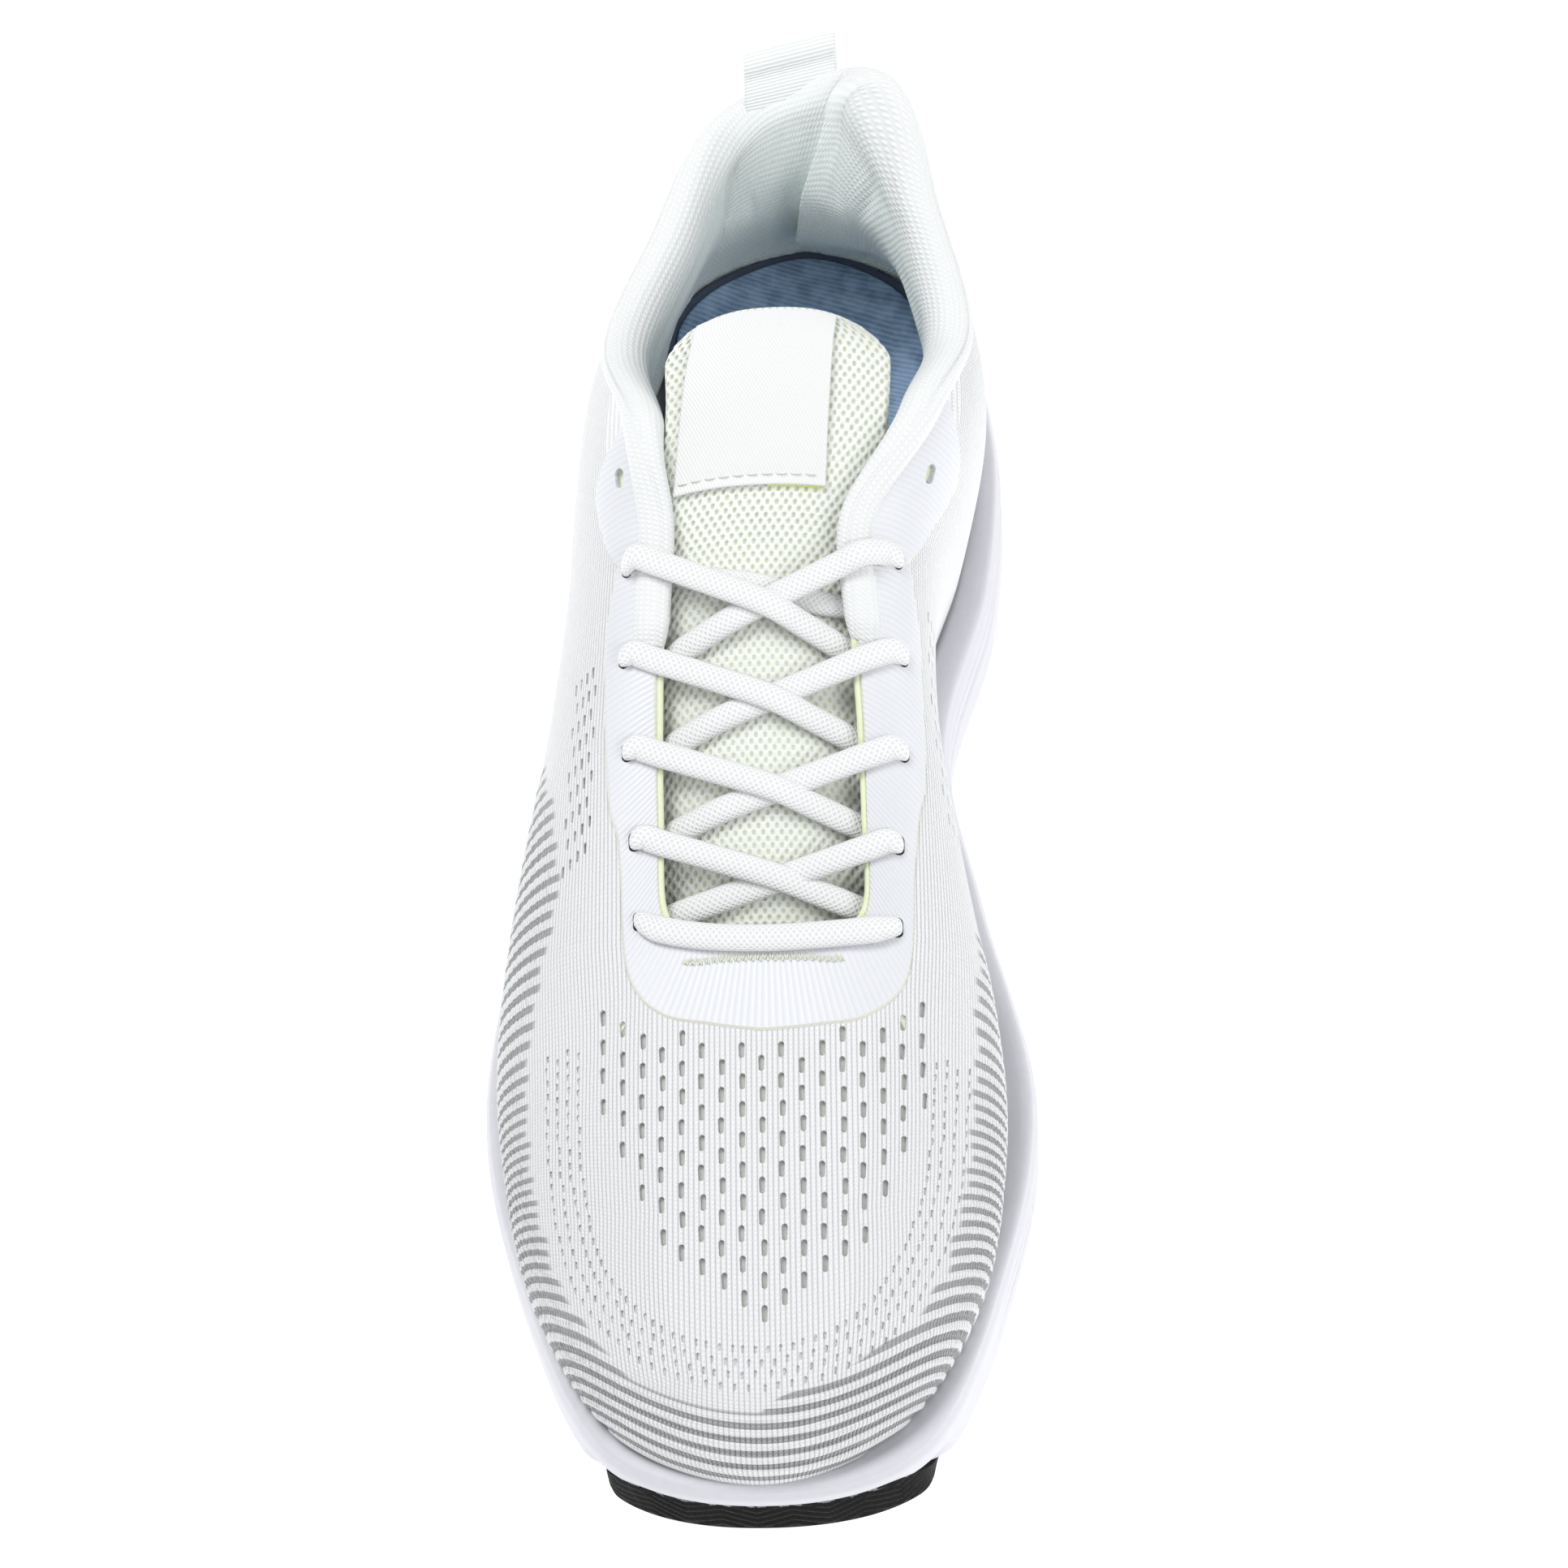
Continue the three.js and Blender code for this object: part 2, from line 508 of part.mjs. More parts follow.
// Sweeps an oval along the lace's path; its width follows the shoe's length.
function laceGeometry() {
  const centre = new THREE.CatmullRomCurve3(lacePath.map(([point]) => point), false, 'centripetal');
  const steps = (lacePath.length - 1) * LACE_STEPS;
  const lengthwise = vec(0, 0.9, 0.43);
  const points = [];
  for (let i = 0; i <= steps; i += 1) {
    const t = i / steps;
    const knot = Math.min(lacePath.length - 2, Math.floor(i / LACE_STEPS));
    const halfWidth = mix(lacePath[knot][1], lacePath[knot + 1][1], i / LACE_STEPS - knot);
    const along = centre.getTangent(t);
    const wide = lengthwise.clone().addScaledVector(along, -lengthwise.dot(along)).normalize();
    const thick = along.clone().cross(wide);
    for (let k = 0; k < LACE_SIDES; k += 1) {
      const angle = (k / LACE_SIDES) * Math.PI * 2;
      points.push(centre.getPoint(t).addScaledVector(wide, Math.cos(angle) * halfWidth)
        .addScaledVector(thick, Math.sin(angle) * LACE_HALF_THICKNESS));
    }
  }
  const triangles = [];
  for (let i = 0; i < steps; i += 1) {
    for (let k = 0; k < LACE_SIDES; k += 1) {
      const next = (k + 1) % LACE_SIDES;
      const a = i * LACE_SIDES;
      quad(triangles, a + k, a + next, a + LACE_SIDES + next, a + LACE_SIDES + k);
    }
  }
  for (let k = 1; k < LACE_SIDES - 1; k += 1) {
    triangles.push([0, k + 1, k]);
    const end = steps * LACE_SIDES;
    triangles.push([end, end + k, end + k + 1]);
  }
  return geometryFrom(points, triangles);
}

// An aglet: a short plastic tip in line with the end of the lace.
function agletGeometry(isFirst) {
  const ends = isFirst ? [lacePath[1][0], lacePath[0][0]] : [lacePath.at(-2)[0], lacePath.at(-1)[0]];
  const along = ends[1].clone().sub(ends[0]).normalize();
  const tip = new THREE.CylinderGeometry(1.6, 1.6, 9, 10);
  tip.applyQuaternion(new THREE.Quaternion().setFromUnitVectors(vec(0, 1, 0), along));
  return tip.translate(...ends[1].addScaledVector(along, 5).toArray());
}

// ---------------------------------------------------------------- heel tab
const TAB_WIDTH = 20;
const TAB_X = HEEL_STATION.rim[0];
const TAB_Y = 143.5;
const TAB_Z = 107.6;
const TAB_HEIGHT = 6;
const TAB_DEPTH = 4.4;
const TAB_TILT = 0.16;              // radians; the medial end stands higher, as the topline does
const TAB_WEBBING = 1.3;

// A folded webbing loop standing on the topline: a rounded ring in the YZ plane.
function tabLoopGeometry() {
  const ring = (halfDepth, bottom, top) => {
    const path = new THREE.Path();
    path.moveTo(-halfDepth, bottom);
    path.lineTo(halfDepth, bottom);
    path.lineTo(halfDepth, top - halfDepth);
    path.absarc(0, top - halfDepth, halfDepth, 0, Math.PI, false);
    path.closePath();
    return path;
  };
  const outline = new THREE.Shape(ring(TAB_DEPTH / 2, 0, TAB_HEIGHT).getPoints(6));
  outline.holes.push(ring(TAB_DEPTH / 2 - TAB_WEBBING, TAB_WEBBING, TAB_HEIGHT - TAB_WEBBING));
  const loop = alongX(outline, TAB_WIDTH, 0, 6).rotateY(-TAB_TILT);
  return loop.translate(TAB_X, TAB_Y, TAB_Z);
}

// ---------------------------------------------------------------- assembly
const shoe = new THREE.Group();

function add(name, geometry, color, roughness, metalness = 0) {
  const mesh = new THREE.Mesh(geometry, new THREE.MeshStandardMaterial({ color, roughness, metalness }));
  mesh.name = name;
  shoe.add(mesh);
}

function addSplit(name, geometry, color, roughness) {
  const { rear, toe } = splitAtBall(geometry);
  add(`${name}_rear`, rear, color, roughness);
  add(`${name}_toe`, toe, color, roughness);
}

// Sole stack, from the ground up.
const outsole = solidOf(outsoleGeometry());
const forefootRubber = outsole.intersect(slabBetween(-FAR, FOREFOOT_RUBBER_END));
add('outsole_heel', geometryOf(outsole.intersect(slabBetween(HEEL_RUBBER_START, FAR))), '#2a2826', 0.8);
addSplit('outsole_forefoot', geometryOf(forefootRubber), '#2a2826', 0.8);
addSplit('midsole', midsoleGeometry(), '#eceaf2', 0.55);
const board = innerLayer(1.6, () => GAP, () => GAP + STROBEL_THICKNESS);
addSplit('strobel_board', board, '#d9d6cd', 0.9);
addSplit('sockliner', innerLayer(2.6, () => soleLift, sockTop), '#3a4048', 0.85);
const soleCover = innerLayer(2.6, (y) => sockTop(y) + GAP, (y) => sockTop(y) + GAP + COVER_THICKNESS);
addSplit('sockliner_cover', soleCover, '#6f8fb0', 0.95);

// Upper, from the outside in. Column 14 is the side of the top eyelet row.
const bothFaces = (depth, thickness) => ({ outer: constant(depth), inner: constant(depth + thickness) });
const allRows = constant(range(0, ROWS));
const behindKnit = KNIT_THICKNESS + GAP;

const knit = upperSheet({
  columns: range(0, COLUMNS - 1), rows: allRows, closed: true, ...bothFaces(0, KNIT_THICKNESS),
});
addSplit('knit_upper', punched(knit), '#e9eaec', 0.9);
add('toe_puff', upperSheet({
  columns: range(-5, 5), rows: constant([0, 1, 2]), ...bothFaces(behindKnit, PUFF_THICKNESS),
}), '#d8d8d8', 0.7);
add('heel_counter', upperSheet({
  columns: range(HEEL_COLUMN - 7, HEEL_COLUMN + 7), rows: constant(range(0, 4)),
  ...bothFaces(behindKnit, COUNTER_THICKNESS),
}), '#c9c9c4', 0.6);
const vampLining = upperSheet({
  columns: range(-14, 14), rows: allRows, ...bothFaces(LINING_DEPTH, LINING_THICKNESS),
});
addSplit('vamp_lining', punched(vampLining), '#b5b5ae', 0.95);

// The collar's padding is thickest halfway up and thins out towards its front ends.
const collarColumns = range(15, COLUMNS - 15);
const padding = (i, j) => {
  const ends = Math.min(i - collarColumns[0], collarColumns.at(-1) - i);
  const rise = Math.sin(Math.PI * smooth(1, 10, j)) ** 0.8;
  return COLLAR_PADDING * rise * smooth(0, 3, ends);
};
const foamInner = (i, j) => COLLAR_FOAM_DEPTH + 1 + padding(i, j);
add('collar_foam', upperSheet({
  columns: collarColumns, rows: constant(range(3, ROWS)),
  outer: constant(COLLAR_FOAM_DEPTH), inner: foamInner,
}), '#f2e9c9', 0.9);
add('collar_lining', upperSheet({
  columns: collarColumns, rows: constant(range(1, ROWS)),
  outer: (i, j) => foamInner(i, j) + GAP, inner: (i, j) => foamInner(i, j) + GAP + LINING_THICKNESS,
}), '#e4f2f0', 0.95);

// A band of film beside the throat edge: narrower at the front, wider on the medial side.
const BAND_EDGE = ROWS - 0.12;
function bandRows(i) {
  const side = i < 0 ? 1.9 : 1.55;
  const width = mix(0.9, side, smooth(3, 7, Math.abs(i)));
  return [BAND_EDGE - width, ROWS - 1, BAND_EDGE];
}
const throatBand = (from, to, depth, thickness) => (
  punched(upperSheet({ columns: range(from, to), rows: bandRows, ...bothFaces(depth, thickness) })));
const overlay = (from, to) => throatBand(from, to, -GAP - OVERLAY_THICKNESS, OVERLAY_THICKNESS);
const eyestay = geometryOf(solidOf(overlay(-13, 13)).intersect(rearOfBall));   // stops at the toe joint
add('eyestay_overlay', eyestay, '#dfe4ee', 0.35);
add('upper_eyelet_overlay_lateral', overlay(14, 16), '#dfe4ee', 0.35);
add('upper_eyelet_overlay_medial', overlay(-16, -14), '#dfe4ee', 0.35);
add('eyestay_backing_lateral', throatBand(5, 16, behindKnit + 0.15, BACKING_THICKNESS), '#f4f4f0', 0.8);
add('eyestay_backing_medial', throatBand(-16, -5, behindKnit + 0.15, BACKING_THICKNESS), '#f4f4f0', 0.8);

// Tongue: a lower part under the lace, and a free flap above it.
const lowerColumns = range(0, 2 * (TONGUE_LINE.length - 1));
const flapColumns = range(0, 2 * (FLAP_LINE.length - 1));
Object.entries(TONGUE_LAYERS).forEach(([layer, [outer, inner]]) => {
  add(`tongue_${layer}`, tongueSheet(TONGUE_LINE, outer, inner, lowerColumns), '#eef4dc', 0.95);
  add(`tongue_flap_${layer}`, tongueSheet(FLAP_LINE, outer, inner, flapColumns), '#eef4dc', 0.95);
});
add('tongue_label', tongueSheet(FLAP_LINE, -0.6 - GAP, -GAP, range(3, 8), range(1, 5)), '#f7f7f5', 0.4);

add('lace', laceGeometry(), '#f2f2f2', 0.85);
add('aglet_lateral', agletGeometry(true), '#f5f5f5', 0.3);
add('aglet_medial', agletGeometry(false), '#f5f5f5', 0.3);

add('heel_tab_anchor', upperSheet({
  columns: range(HEEL_COLUMN - 1, HEEL_COLUMN + 1), rows: constant([6, 7, ROWS]), ...bothFaces(-GAP - 1.2, 1.2),
}), '#f2f2f2', 0.8);
add('heel_tab_loop', tabLoopGeometry(), '#f2f2f2', 0.8);

export default shoe;
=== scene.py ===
"""A right-foot running shoe: the visual model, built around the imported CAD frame."""
import math
import bmesh
import bpy
import numpy as np
from mathutils import Matrix, Vector, kdtree


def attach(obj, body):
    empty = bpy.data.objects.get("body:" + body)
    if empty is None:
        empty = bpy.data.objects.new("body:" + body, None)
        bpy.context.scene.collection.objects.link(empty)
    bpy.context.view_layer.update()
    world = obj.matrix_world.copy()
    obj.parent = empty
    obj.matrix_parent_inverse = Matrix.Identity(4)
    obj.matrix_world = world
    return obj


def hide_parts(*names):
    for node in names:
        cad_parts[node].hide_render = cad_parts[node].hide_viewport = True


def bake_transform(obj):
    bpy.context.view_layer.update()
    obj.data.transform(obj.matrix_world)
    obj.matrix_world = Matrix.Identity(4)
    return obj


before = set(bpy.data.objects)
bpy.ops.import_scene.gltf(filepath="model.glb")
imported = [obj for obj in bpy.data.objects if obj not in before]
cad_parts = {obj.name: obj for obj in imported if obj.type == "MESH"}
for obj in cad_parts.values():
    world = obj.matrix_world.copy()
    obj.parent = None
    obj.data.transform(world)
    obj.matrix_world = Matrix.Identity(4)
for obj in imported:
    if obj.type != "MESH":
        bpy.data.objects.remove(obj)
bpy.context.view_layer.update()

# ------------------------------------------------------------------ design values, in millimetres
MM = 0.001
HEELWARDS = np.array([0, 1.0, 0])
KNIT_THICKNESS = 0.8
CLOTH_SCALE = 10                 # cloth is simulated ten times life size
SHARP_ANGLE = math.radians(40)   # edges cut into a mesh that turn more than this are shaded sharp
EYELET_Y = [-32, -16.5, 0, 17, 34, 51]
LACED_ROWS = 5                    # the top pair of eyelets is empty
EYELET_SETBACK = {True: 8.5, False: 11.5}     # lateral, medial
EYELET_HALF_LENGTH = 2.1
EYELET_HALF_WIDTH = 1.2
LACE_HALF_WIDTH = 2.75
LACE_HALF_THICKNESS = 1.15
TOE_TIP = (2, -149)
HEEL_TIP = (11, 147.5)
SOLE_WIDTHS = [(-139, -30, 34), (-100, -49, 51), (-60, -57, 57.5), (-15, -51.5, 47.5),
               (22, -44, 41), (60, -37.5, 51), (98, -32, 53), (130, -23.5, 43)]
BITE_LINE = [(-150, 32), (-108, 29), (-65, 28), (-22, 29.5), (8, 32), (36, 34.5), (62, 37.5),
             (90, 39), (118, 40), (150, 40)]

# The upper's stations: foot (x, y), low guide, high guide and rim (x, y, z), toe to heel.
TOE_STATION = ((2, -145.8), (2, -150.5, 46), (3, -98, 60), (3.5, -43, 66.2))
LATERAL = [
    ((-26, -136), (-30, -140, 46), (-14, -95, 60), (-4, -43, 66.2)),
    ((-43, -109), (-49, -111, 46), (-27, -84, 60), (-11, -42.5, 66.3)),
    ((-50, -78), (-57, -78, 46), (-34, -66, 61), (-16.5, -36, 67.3)),
    ((-52, -52), (-58, -50, 48), (-36, -42, 68), (-17, -18, 72)),
    ((-49, -22), (-55, -20, 50), (-36, -14, 76), (-17, 0, 78)),
    ((-43, 8), (-49, 10, 54), (-36, 14, 84), (-16.5, 20, 85)),
    ((-39, 36), (-44, 38, 58), (-35, 40, 92), (-15.5, 42, 93)),
    ((-35, 62), (-41, 62, 60), (-38, 62, 88), (-20, 60, 101)),
    ((-31, 90), (-38, 90, 56), (-36, 91, 77), (-27, 88, 90)),
    ((-23, 118), (-29, 120, 58), (-27, 117, 79), (-17, 115, 93)),
    ((-11, 135), (-17, 141, 58), (-14, 133, 82), (-6, 136, 101)),
]
HEEL_STATION = ((11, 142), (11, 151, 58), (11, 140, 84), (11, 143.5, 104.5))
MEDIAL = [
    ((28, -135), (32, -139, 46), (20, -95, 60), (11, -43, 66.2)),
    ((44, -109), (50, -111, 45), (32, -84, 60), (18, -42.5, 66.3)),
    ((49, -78), (56, -78, 45), (40, -66, 61), (24, -36, 67.3)),
    ((48, -52), (54, -50, 48), (42, -42, 68), (24, -18, 73)),
    ((42, -22), (47, -20, 52), (43, -14, 77), (23.5, 0, 79)),
    ((36, 8), (41, 10, 58), (43, 14, 85), (22.5, 20, 86)),
    ((36, 36), (41, 38, 62), (46, 40, 91), (22.5, 41, 94.5)),
    ((44, 62), (48.5, 62, 64), (52.5, 62, 90), (38, 62, 102)),
    ((47.5, 90), (52, 90, 58), (52.5, 91, 79), (45.5, 90, 90)),
    ((41, 118), (47, 120, 60), (46, 117, 82), (39.5, 117, 97)),
    ((31, 135), (38, 140, 58), (36, 134, 86), (32.5, 138, 109.5)),
]

# The tongue's outer face: y, z, centre x, half width, drop at the edges.
TONGUE_LINE = [(-51, 59.6, 3.5, 15, 2), (-43, 60.6, 3.5, 18, 3), (-33, 64.6, 3.5, 23, 8),
               (-18, 71, 3.5, 27, 10), (0, 77.5, 3.3, 28, 11), (20, 84.5, 3.2, 28, 11),
               (34, 90.2, 3.4, 27, 11), (45, 96, 5, 25, 7), (60, 104, 7.6, 23.8, 5),
               (72, 110.5, 8.2, 24, 5), (78.5, 114.6, 8, 23.5, 4)]


# ------------------------------------------------------------------ maths
def smooth(low, high, value):
    """0 below low, 1 above high, with soft ends; high may be below low."""
    t = np.clip((np.asarray(value, float) - low) / (high - low), 0, 1)
    return t * t * (3 - 2 * t)


def mix(a, b, t):
    return a + (b - a) * t


def along(knots, y):
    """Piecewise straight value along a list of (y, value)."""
    xs, ys = zip(*knots)
    return np.interp(y, xs, ys)


def catmull(points, t, closed):
    """Uniform Catmull-Rom curve through points at parameters t in 0..1."""
    p = np.asarray(points, float)
    n = len(p)
    s = (np.asarray(t, float) % 1.0) * n if closed else np.clip(t, 0, 1) * (n - 1)
    i = np.floor(s).astype(int)
    if not closed:
        i = np.minimum(i, n - 2)
    f = (s - i)[..., None]
    pick = (lambda k: p[k % n]) if closed else (lambda k: p[np.clip(k, 0, n - 1)])
    a, b, c, d = pick(i - 1), pick(i), pick(i + 1), pick(i + 2)
    return 0.5 * (2 * b + (c - a) * f + (2 * a - 5 * b + 4 * c - d) * f ** 2
                  + (3 * b - a - 3 * c + d) * f ** 3)


def unit(v):
    return v / np.maximum(np.linalg.norm(v, axis=-1, keepdims=True), 1e-9)


def run_length(path):
    """Distance along a path at each of its points."""
    return np.concatenate([[0], np.cumsum(np.linalg.norm(np.diff(path, axis=0), axis=1))])


def tangents(path):
    return unit(np.gradient(path, axis=0))


def resample(values, run, spots):
    """Values given along a run, at other distances along it."""
    return np.stack([np.interp(spots, run, column) for column in values.T], axis=-1)


def surface_normals(position, u, v, du, dv):
    """Unit cross product of a surface's two directions at each point."""
    a = position(u + du, v) - position(u - du, v)
    b = position(u, v + dv) - position(u, v - dv)
    return unit(np.cross(a, b))


def bite_height(y):
    return along(BITE_LINE, y)


def ground_height(y):
    """Height of the tread's underside: flat in the middle, rising at the toe and the heel."""
    return 14.5 * (np.maximum(0, -95 - y) / 54) ** 2 + 8 * (np.maximum(0, y - 115) / 32.5) ** 2


# ------------------------------------------------------------------ the upper's surface
STATIONS = [TOE_STATION] + LATERAL + [HEEL_STATION] + MEDIAL[::-1]
COLUMNS = 2 * len(STATIONS)
ROWS = 8
GUIDES = [[(*s[0], float(bite_height(s[0][1]))) for s in STATIONS]]
GUIDES += [[s[k] for s in STATIONS] for k in (1, 2, 3)]


def upper(column, row):
    """Point on the upper: column counts round from the toe, row climbs from bite line to rim."""
    column, row = np.broadcast_arrays(np.asarray(column, float), np.asarray(row, float))
    t = (row / ROWS)[..., None]
    weights = ((1 - t) ** 3, 3 * t * (1 - t) ** 2, 3 * t * t * (1 - t), t ** 3)
    return sum(w * catmull(g, column / COLUMNS, True) for w, g in zip(weights, GUIDES))


def upper_normal(column, row):
    """Outward normal of the upper."""
    return -surface_normals(upper, column, np.clip(row, 0.05, ROWS - 0.05), 0.06, 0.04)


def on_upper(column, row):
    """Point and outward normal on the upper."""
    return upper(column, row), upper_normal(column, row)


def rows_at(column, distance):
    """Rows that lie a distance (mm) along the surface from the rim."""
    fine = np.linspace(ROWS, 0, 121)
    points = upper(column[:, None], fine[None, :])
    steps = np.linalg.norm(np.diff(points, axis=1), axis=-1)
    run = np.concatenate([np.zeros((len(column), 1)), np.cumsum(steps, axis=1)], axis=1)
    return np.array([np.interp(d, r, fine) for d, r in zip(distance, run)])


def rim_column(y, lateral):
    """Column where the throat edge passes y."""
    columns = np.linspace(4.5, 16, 400)
    rim = upper(columns if lateral else COLUMNS - columns, ROWS)
    found = np.interp(y, rim[:, 1], columns)
    return found if lateral else COLUMNS - found


def beside_throat(lateral, y, setback):
    """Point and normal on the upper beside the throat edge."""
    column = rim_column(y, lateral)
    return on_upper(column, rows_at(np.array([column]), [setback])[0])


# ------------------------------------------------------------------ mesh building
def mesh_object(name, vertices, faces, smooth_shaded=True, attributes=None):
    """A mesh in metres from millimetre vertices, with a rest-position attribute for its materials."""
    vertices = np.asarray(vertices, float).reshape(-1, 3)
    mesh = bpy.data.meshes.new(name)
    mesh.from_pydata((vertices * MM).tolist(), [], faces)
    mesh.polygons.foreach_set("use_smooth", [smooth_shaded] * len(mesh.polygons))
    obj = bpy.data.objects.new(name, mesh)
    bpy.context.scene.collection.objects.link(obj)
    store(obj, "rest", vertices)
    for key, values in (attributes or {}).items():
        store(obj, key, values)
    mesh.update()
    return obj


def store(obj, name, values):
    """Stores a per-vertex vector (millimetres or pattern coordinates) in place of an earlier one."""
    if name in obj.data.attributes:
        obj.data.attributes.remove(obj.data.attributes[name])
    values = np.asarray(values, float).reshape(len(obj.data.vertices), -1)
    if values.shape[1] < 3:
        values = np.hstack([values, np.zeros((len(values), 3 - values.shape[1]))])
    attribute = obj.data.attributes.new(name, "FLOAT_VECTOR", "POINT")
    attribute.data.foreach_set("vector", values.astype(np.float32).ravel())


def grid_faces(nu, nv, wrap_u=False, wrap_v=False, start=0):
    """Quads of an nu by nv grid of points stored row by row."""
    us = np.arange(nu if wrap_u else nu - 1)
    vs = np.arange(nv if wrap_v else nv - 1)
    i, j = np.meshgrid(us, vs, indexing="ij")
    i2, j2 = (i + 1) % nu, (j + 1) % nv
    quads = np.stack([i * nv + j, i2 * nv + j, i2 * nv + j2, i * nv + j2], axis=-1).reshape(-1, 4)
    return (quads + start).tolist()


def shell(name, outer, inner, wrap_u=False, pattern=None, picked=None):
    """A closed sheet between two grids of points; picked gives the outer row that each inner row meets."""
    nu, nv, ni = outer.shape[0], outer.shape[1], inner.shape[1]
    picked = np.arange(nv) if picked is None else picked
    base = nu * nv
    faces = grid_faces(nu, nv, wrap_u) + grid_faces(nu, ni, wrap_u, start=base)
    for i in range(nu if wrap_u else nu - 1):
        k = (i + 1) % nu
        for row, inner_row in ((0, 0), (nv - 1, ni - 1)):
            faces.append((i * nv + row, base + i * ni + inner_row, base + k * ni + inner_row, k * nv + row))
    for i in () if wrap_u else (0, nu - 1):
        for k in range(ni - 1):
            run = [i * nv + j for j in range(picked[k], picked[k + 1] + 1)]
            faces.append(run + [base + i * ni + k + 1, base + i * ni + k])
    points = np.concatenate([outer.reshape(-1, 3), inner.reshape(-1, 3)])
    attributes = {}
    if pattern is not None:
        attributes["pattern"] = np.concatenate([pattern.reshape(-1, 3), pattern[:, picked].reshape(-1, 3)])
    return fix_normals(mesh_object(name, points, faces, attributes=attributes))


def tube(name, path, wide, thick, half_width, half_thickness, sides, power=1.0):
    """A swept oval; wide and thick are unit directions at each path point."""
    angle = np.linspace(0, 2 * np.pi, sides, endpoint=False)
    c, s = np.cos(angle), np.sin(angle)
    c = np.sign(c) * np.abs(c) ** power
    s = np.sign(s) * np.abs(s) ** power
    hw, ht = np.broadcast_to(half_width, len(path)), np.broadcast_to(half_thickness, len(path))
    rings = (path[:, None] + wide[:, None] * (c[None, :] * hw[:, None])[..., None]
             + thick[:, None] * (s[None, :] * ht[:, None])[..., None])
    run = run_length(path)
    last = (len(path) - 1) * sides
    faces = grid_faces(len(path), sides, False, True)
    faces += [list(range(sides)), list(range(last, last + sides))]
    pattern = np.stack(np.broadcast_arrays(run[:, None], angle[None, :] / (2 * np.pi), 0.0), axis=-1)
    return fix_normals(mesh_object(name, rings, faces, attributes={"pattern": pattern}))


def fix_normals(obj):
    """Turns every face of a closed mesh outwards."""
    work = bmesh.new()
    work.from_mesh(obj.data)
    bmesh.ops.recalc_face_normals(work, faces=work.faces)
    work.to_mesh(obj.data)
    work.free()
    return obj


def apply_modifiers(obj):
    """Bakes the object's modifiers into its mesh."""
    graph = bpy.context.evaluated_depsgraph_get()
    graph.update()
    done = bpy.data.meshes.new_from_object(obj.evaluated_get(graph))
    obj.modifiers.clear()
    obj.data = done


def join(name, objects):
    """One object from several; the first keeps its data layers."""
    bpy.ops.object.select_all(action="DESELECT")
    for obj in objects:
        obj.select_set(True)
    bpy.context.view_layer.objects.active = objects[0]
    bpy.ops.object.join()
    objects[0].name = name
    return objects[0]



def inflate(obj, free, cap, pressure):
    """Lets cloth swell the free points under pressure, moving none of them more than cap mm."""
    rest = read(obj.data.vertices, "co")
    twin = obj.copy()
    twin.data = obj.data.copy()
    bpy.context.scene.collection.objects.link(twin)
    twin.data.vertices.foreach_set("co", rest.ravel() * CLOTH_SCALE)
    held = twin.vertex_groups.new(name="held")
    held.add(np.flatnonzero(~free).tolist(), 1.0, "REPLACE")
    cloth = twin.modifiers.new("Cloth", "CLOTH")
    cloth.settings.quality = 6
    cloth.settings.vertex_group_mass = "held"
    cloth.settings.use_pressure = True
    cloth.settings.uniform_pressure_force = pressure
    cloth.settings.effector_weights.gravity = 0
    for number in range(1, 21):
        bpy.context.scene.frame_set(number)
    result = twin.evaluated_get(bpy.context.evaluated_depsgraph_get())
    moved = read(result.data.vertices, "co") / CLOTH_SCALE - rest
    length = np.maximum(np.linalg.norm(moved, axis=1, keepdims=True), 1e-9)
    moved *= np.minimum(1, cap * MM / length)
    obj.data.vertices.foreach_set("co", (rest + moved).ravel())
    bpy.data.objects.remove(twin)
    bpy.context.scene.frame_set(1)


def subdivide(obj):
    obj.modifiers.new("Subdivision", "SUBSURF")
    apply_modifiers(obj)


def cut(obj, tool, operation="DIFFERENCE"):
    """Takes the tool's volume out of obj, or keeps only what they share, and removes the tool."""
    modifier = obj.modifiers.new("Cut", "BOOLEAN")
    modifier.operation = operation
    modifier.solver = "MANIFOLD"
    modifier.object = tool
    apply_modifiers(obj)
    bpy.data.objects.remove(tool)
    obj.data.set_sharp_from_angle(angle=SHARP_ANGLE)
    store(obj, "rest", positions(obj))


def read(elements, field):
    """A vector field of a mesh's vertices or of an attribute's data, as rows of three."""
    flat = np.zeros(len(elements) * 3)
    elements.foreach_get(field, flat)
    return flat.reshape(-1, 3)


def positions(obj):
    """The mesh's vertices in millimetres."""
    return read(obj.data.vertices, "co") / MM


def stored(obj, name):
    return read(obj.data.attributes[name].data, "vector")


def prisms(places, half_long, half_wide, depth_up, depth_down, sides=12):
    """Stadium-shaped pins standing on a surface; places are (point, normal, long direction)."""
    angle = np.linspace(0, 2 * np.pi, sides, endpoint=False)
    straight = half_long - half_wide
    across = np.cos(angle) * half_wide
    lengthwise = np.sin(angle) * half_wide + np.where(np.sin(angle) >= 0, straight, -straight)
    vertices, faces = [], []
    for point, normal, direction in places:
        long = unit(direction - normal * np.dot(direction, normal))
        wide = np.cross(long, normal)
        ring = point + across[:, None] * wide + lengthwise[:, None] * long
        start = len(vertices)
        vertices += list(ring - normal * depth_down) + list(ring + normal * depth_up)
        faces += [list(range(start, start + sides)), list(range(start + sides, start + 2 * sides))]
        faces += grid_faces(2, sides, False, True, start)
    return fix_normals(mesh_object("prisms", vertices, faces, smooth_shaded=False))


def place(obj, look, body=None, slot=None, stands_for=()):
    """Material, body and the CAD nodes a piece stands for; slot is not used."""
    obj.data.materials.clear()
    obj.data.materials.append(look)
    if body:
        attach(obj, body)
    if stands_for:
        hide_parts(*stands_for)
    return obj


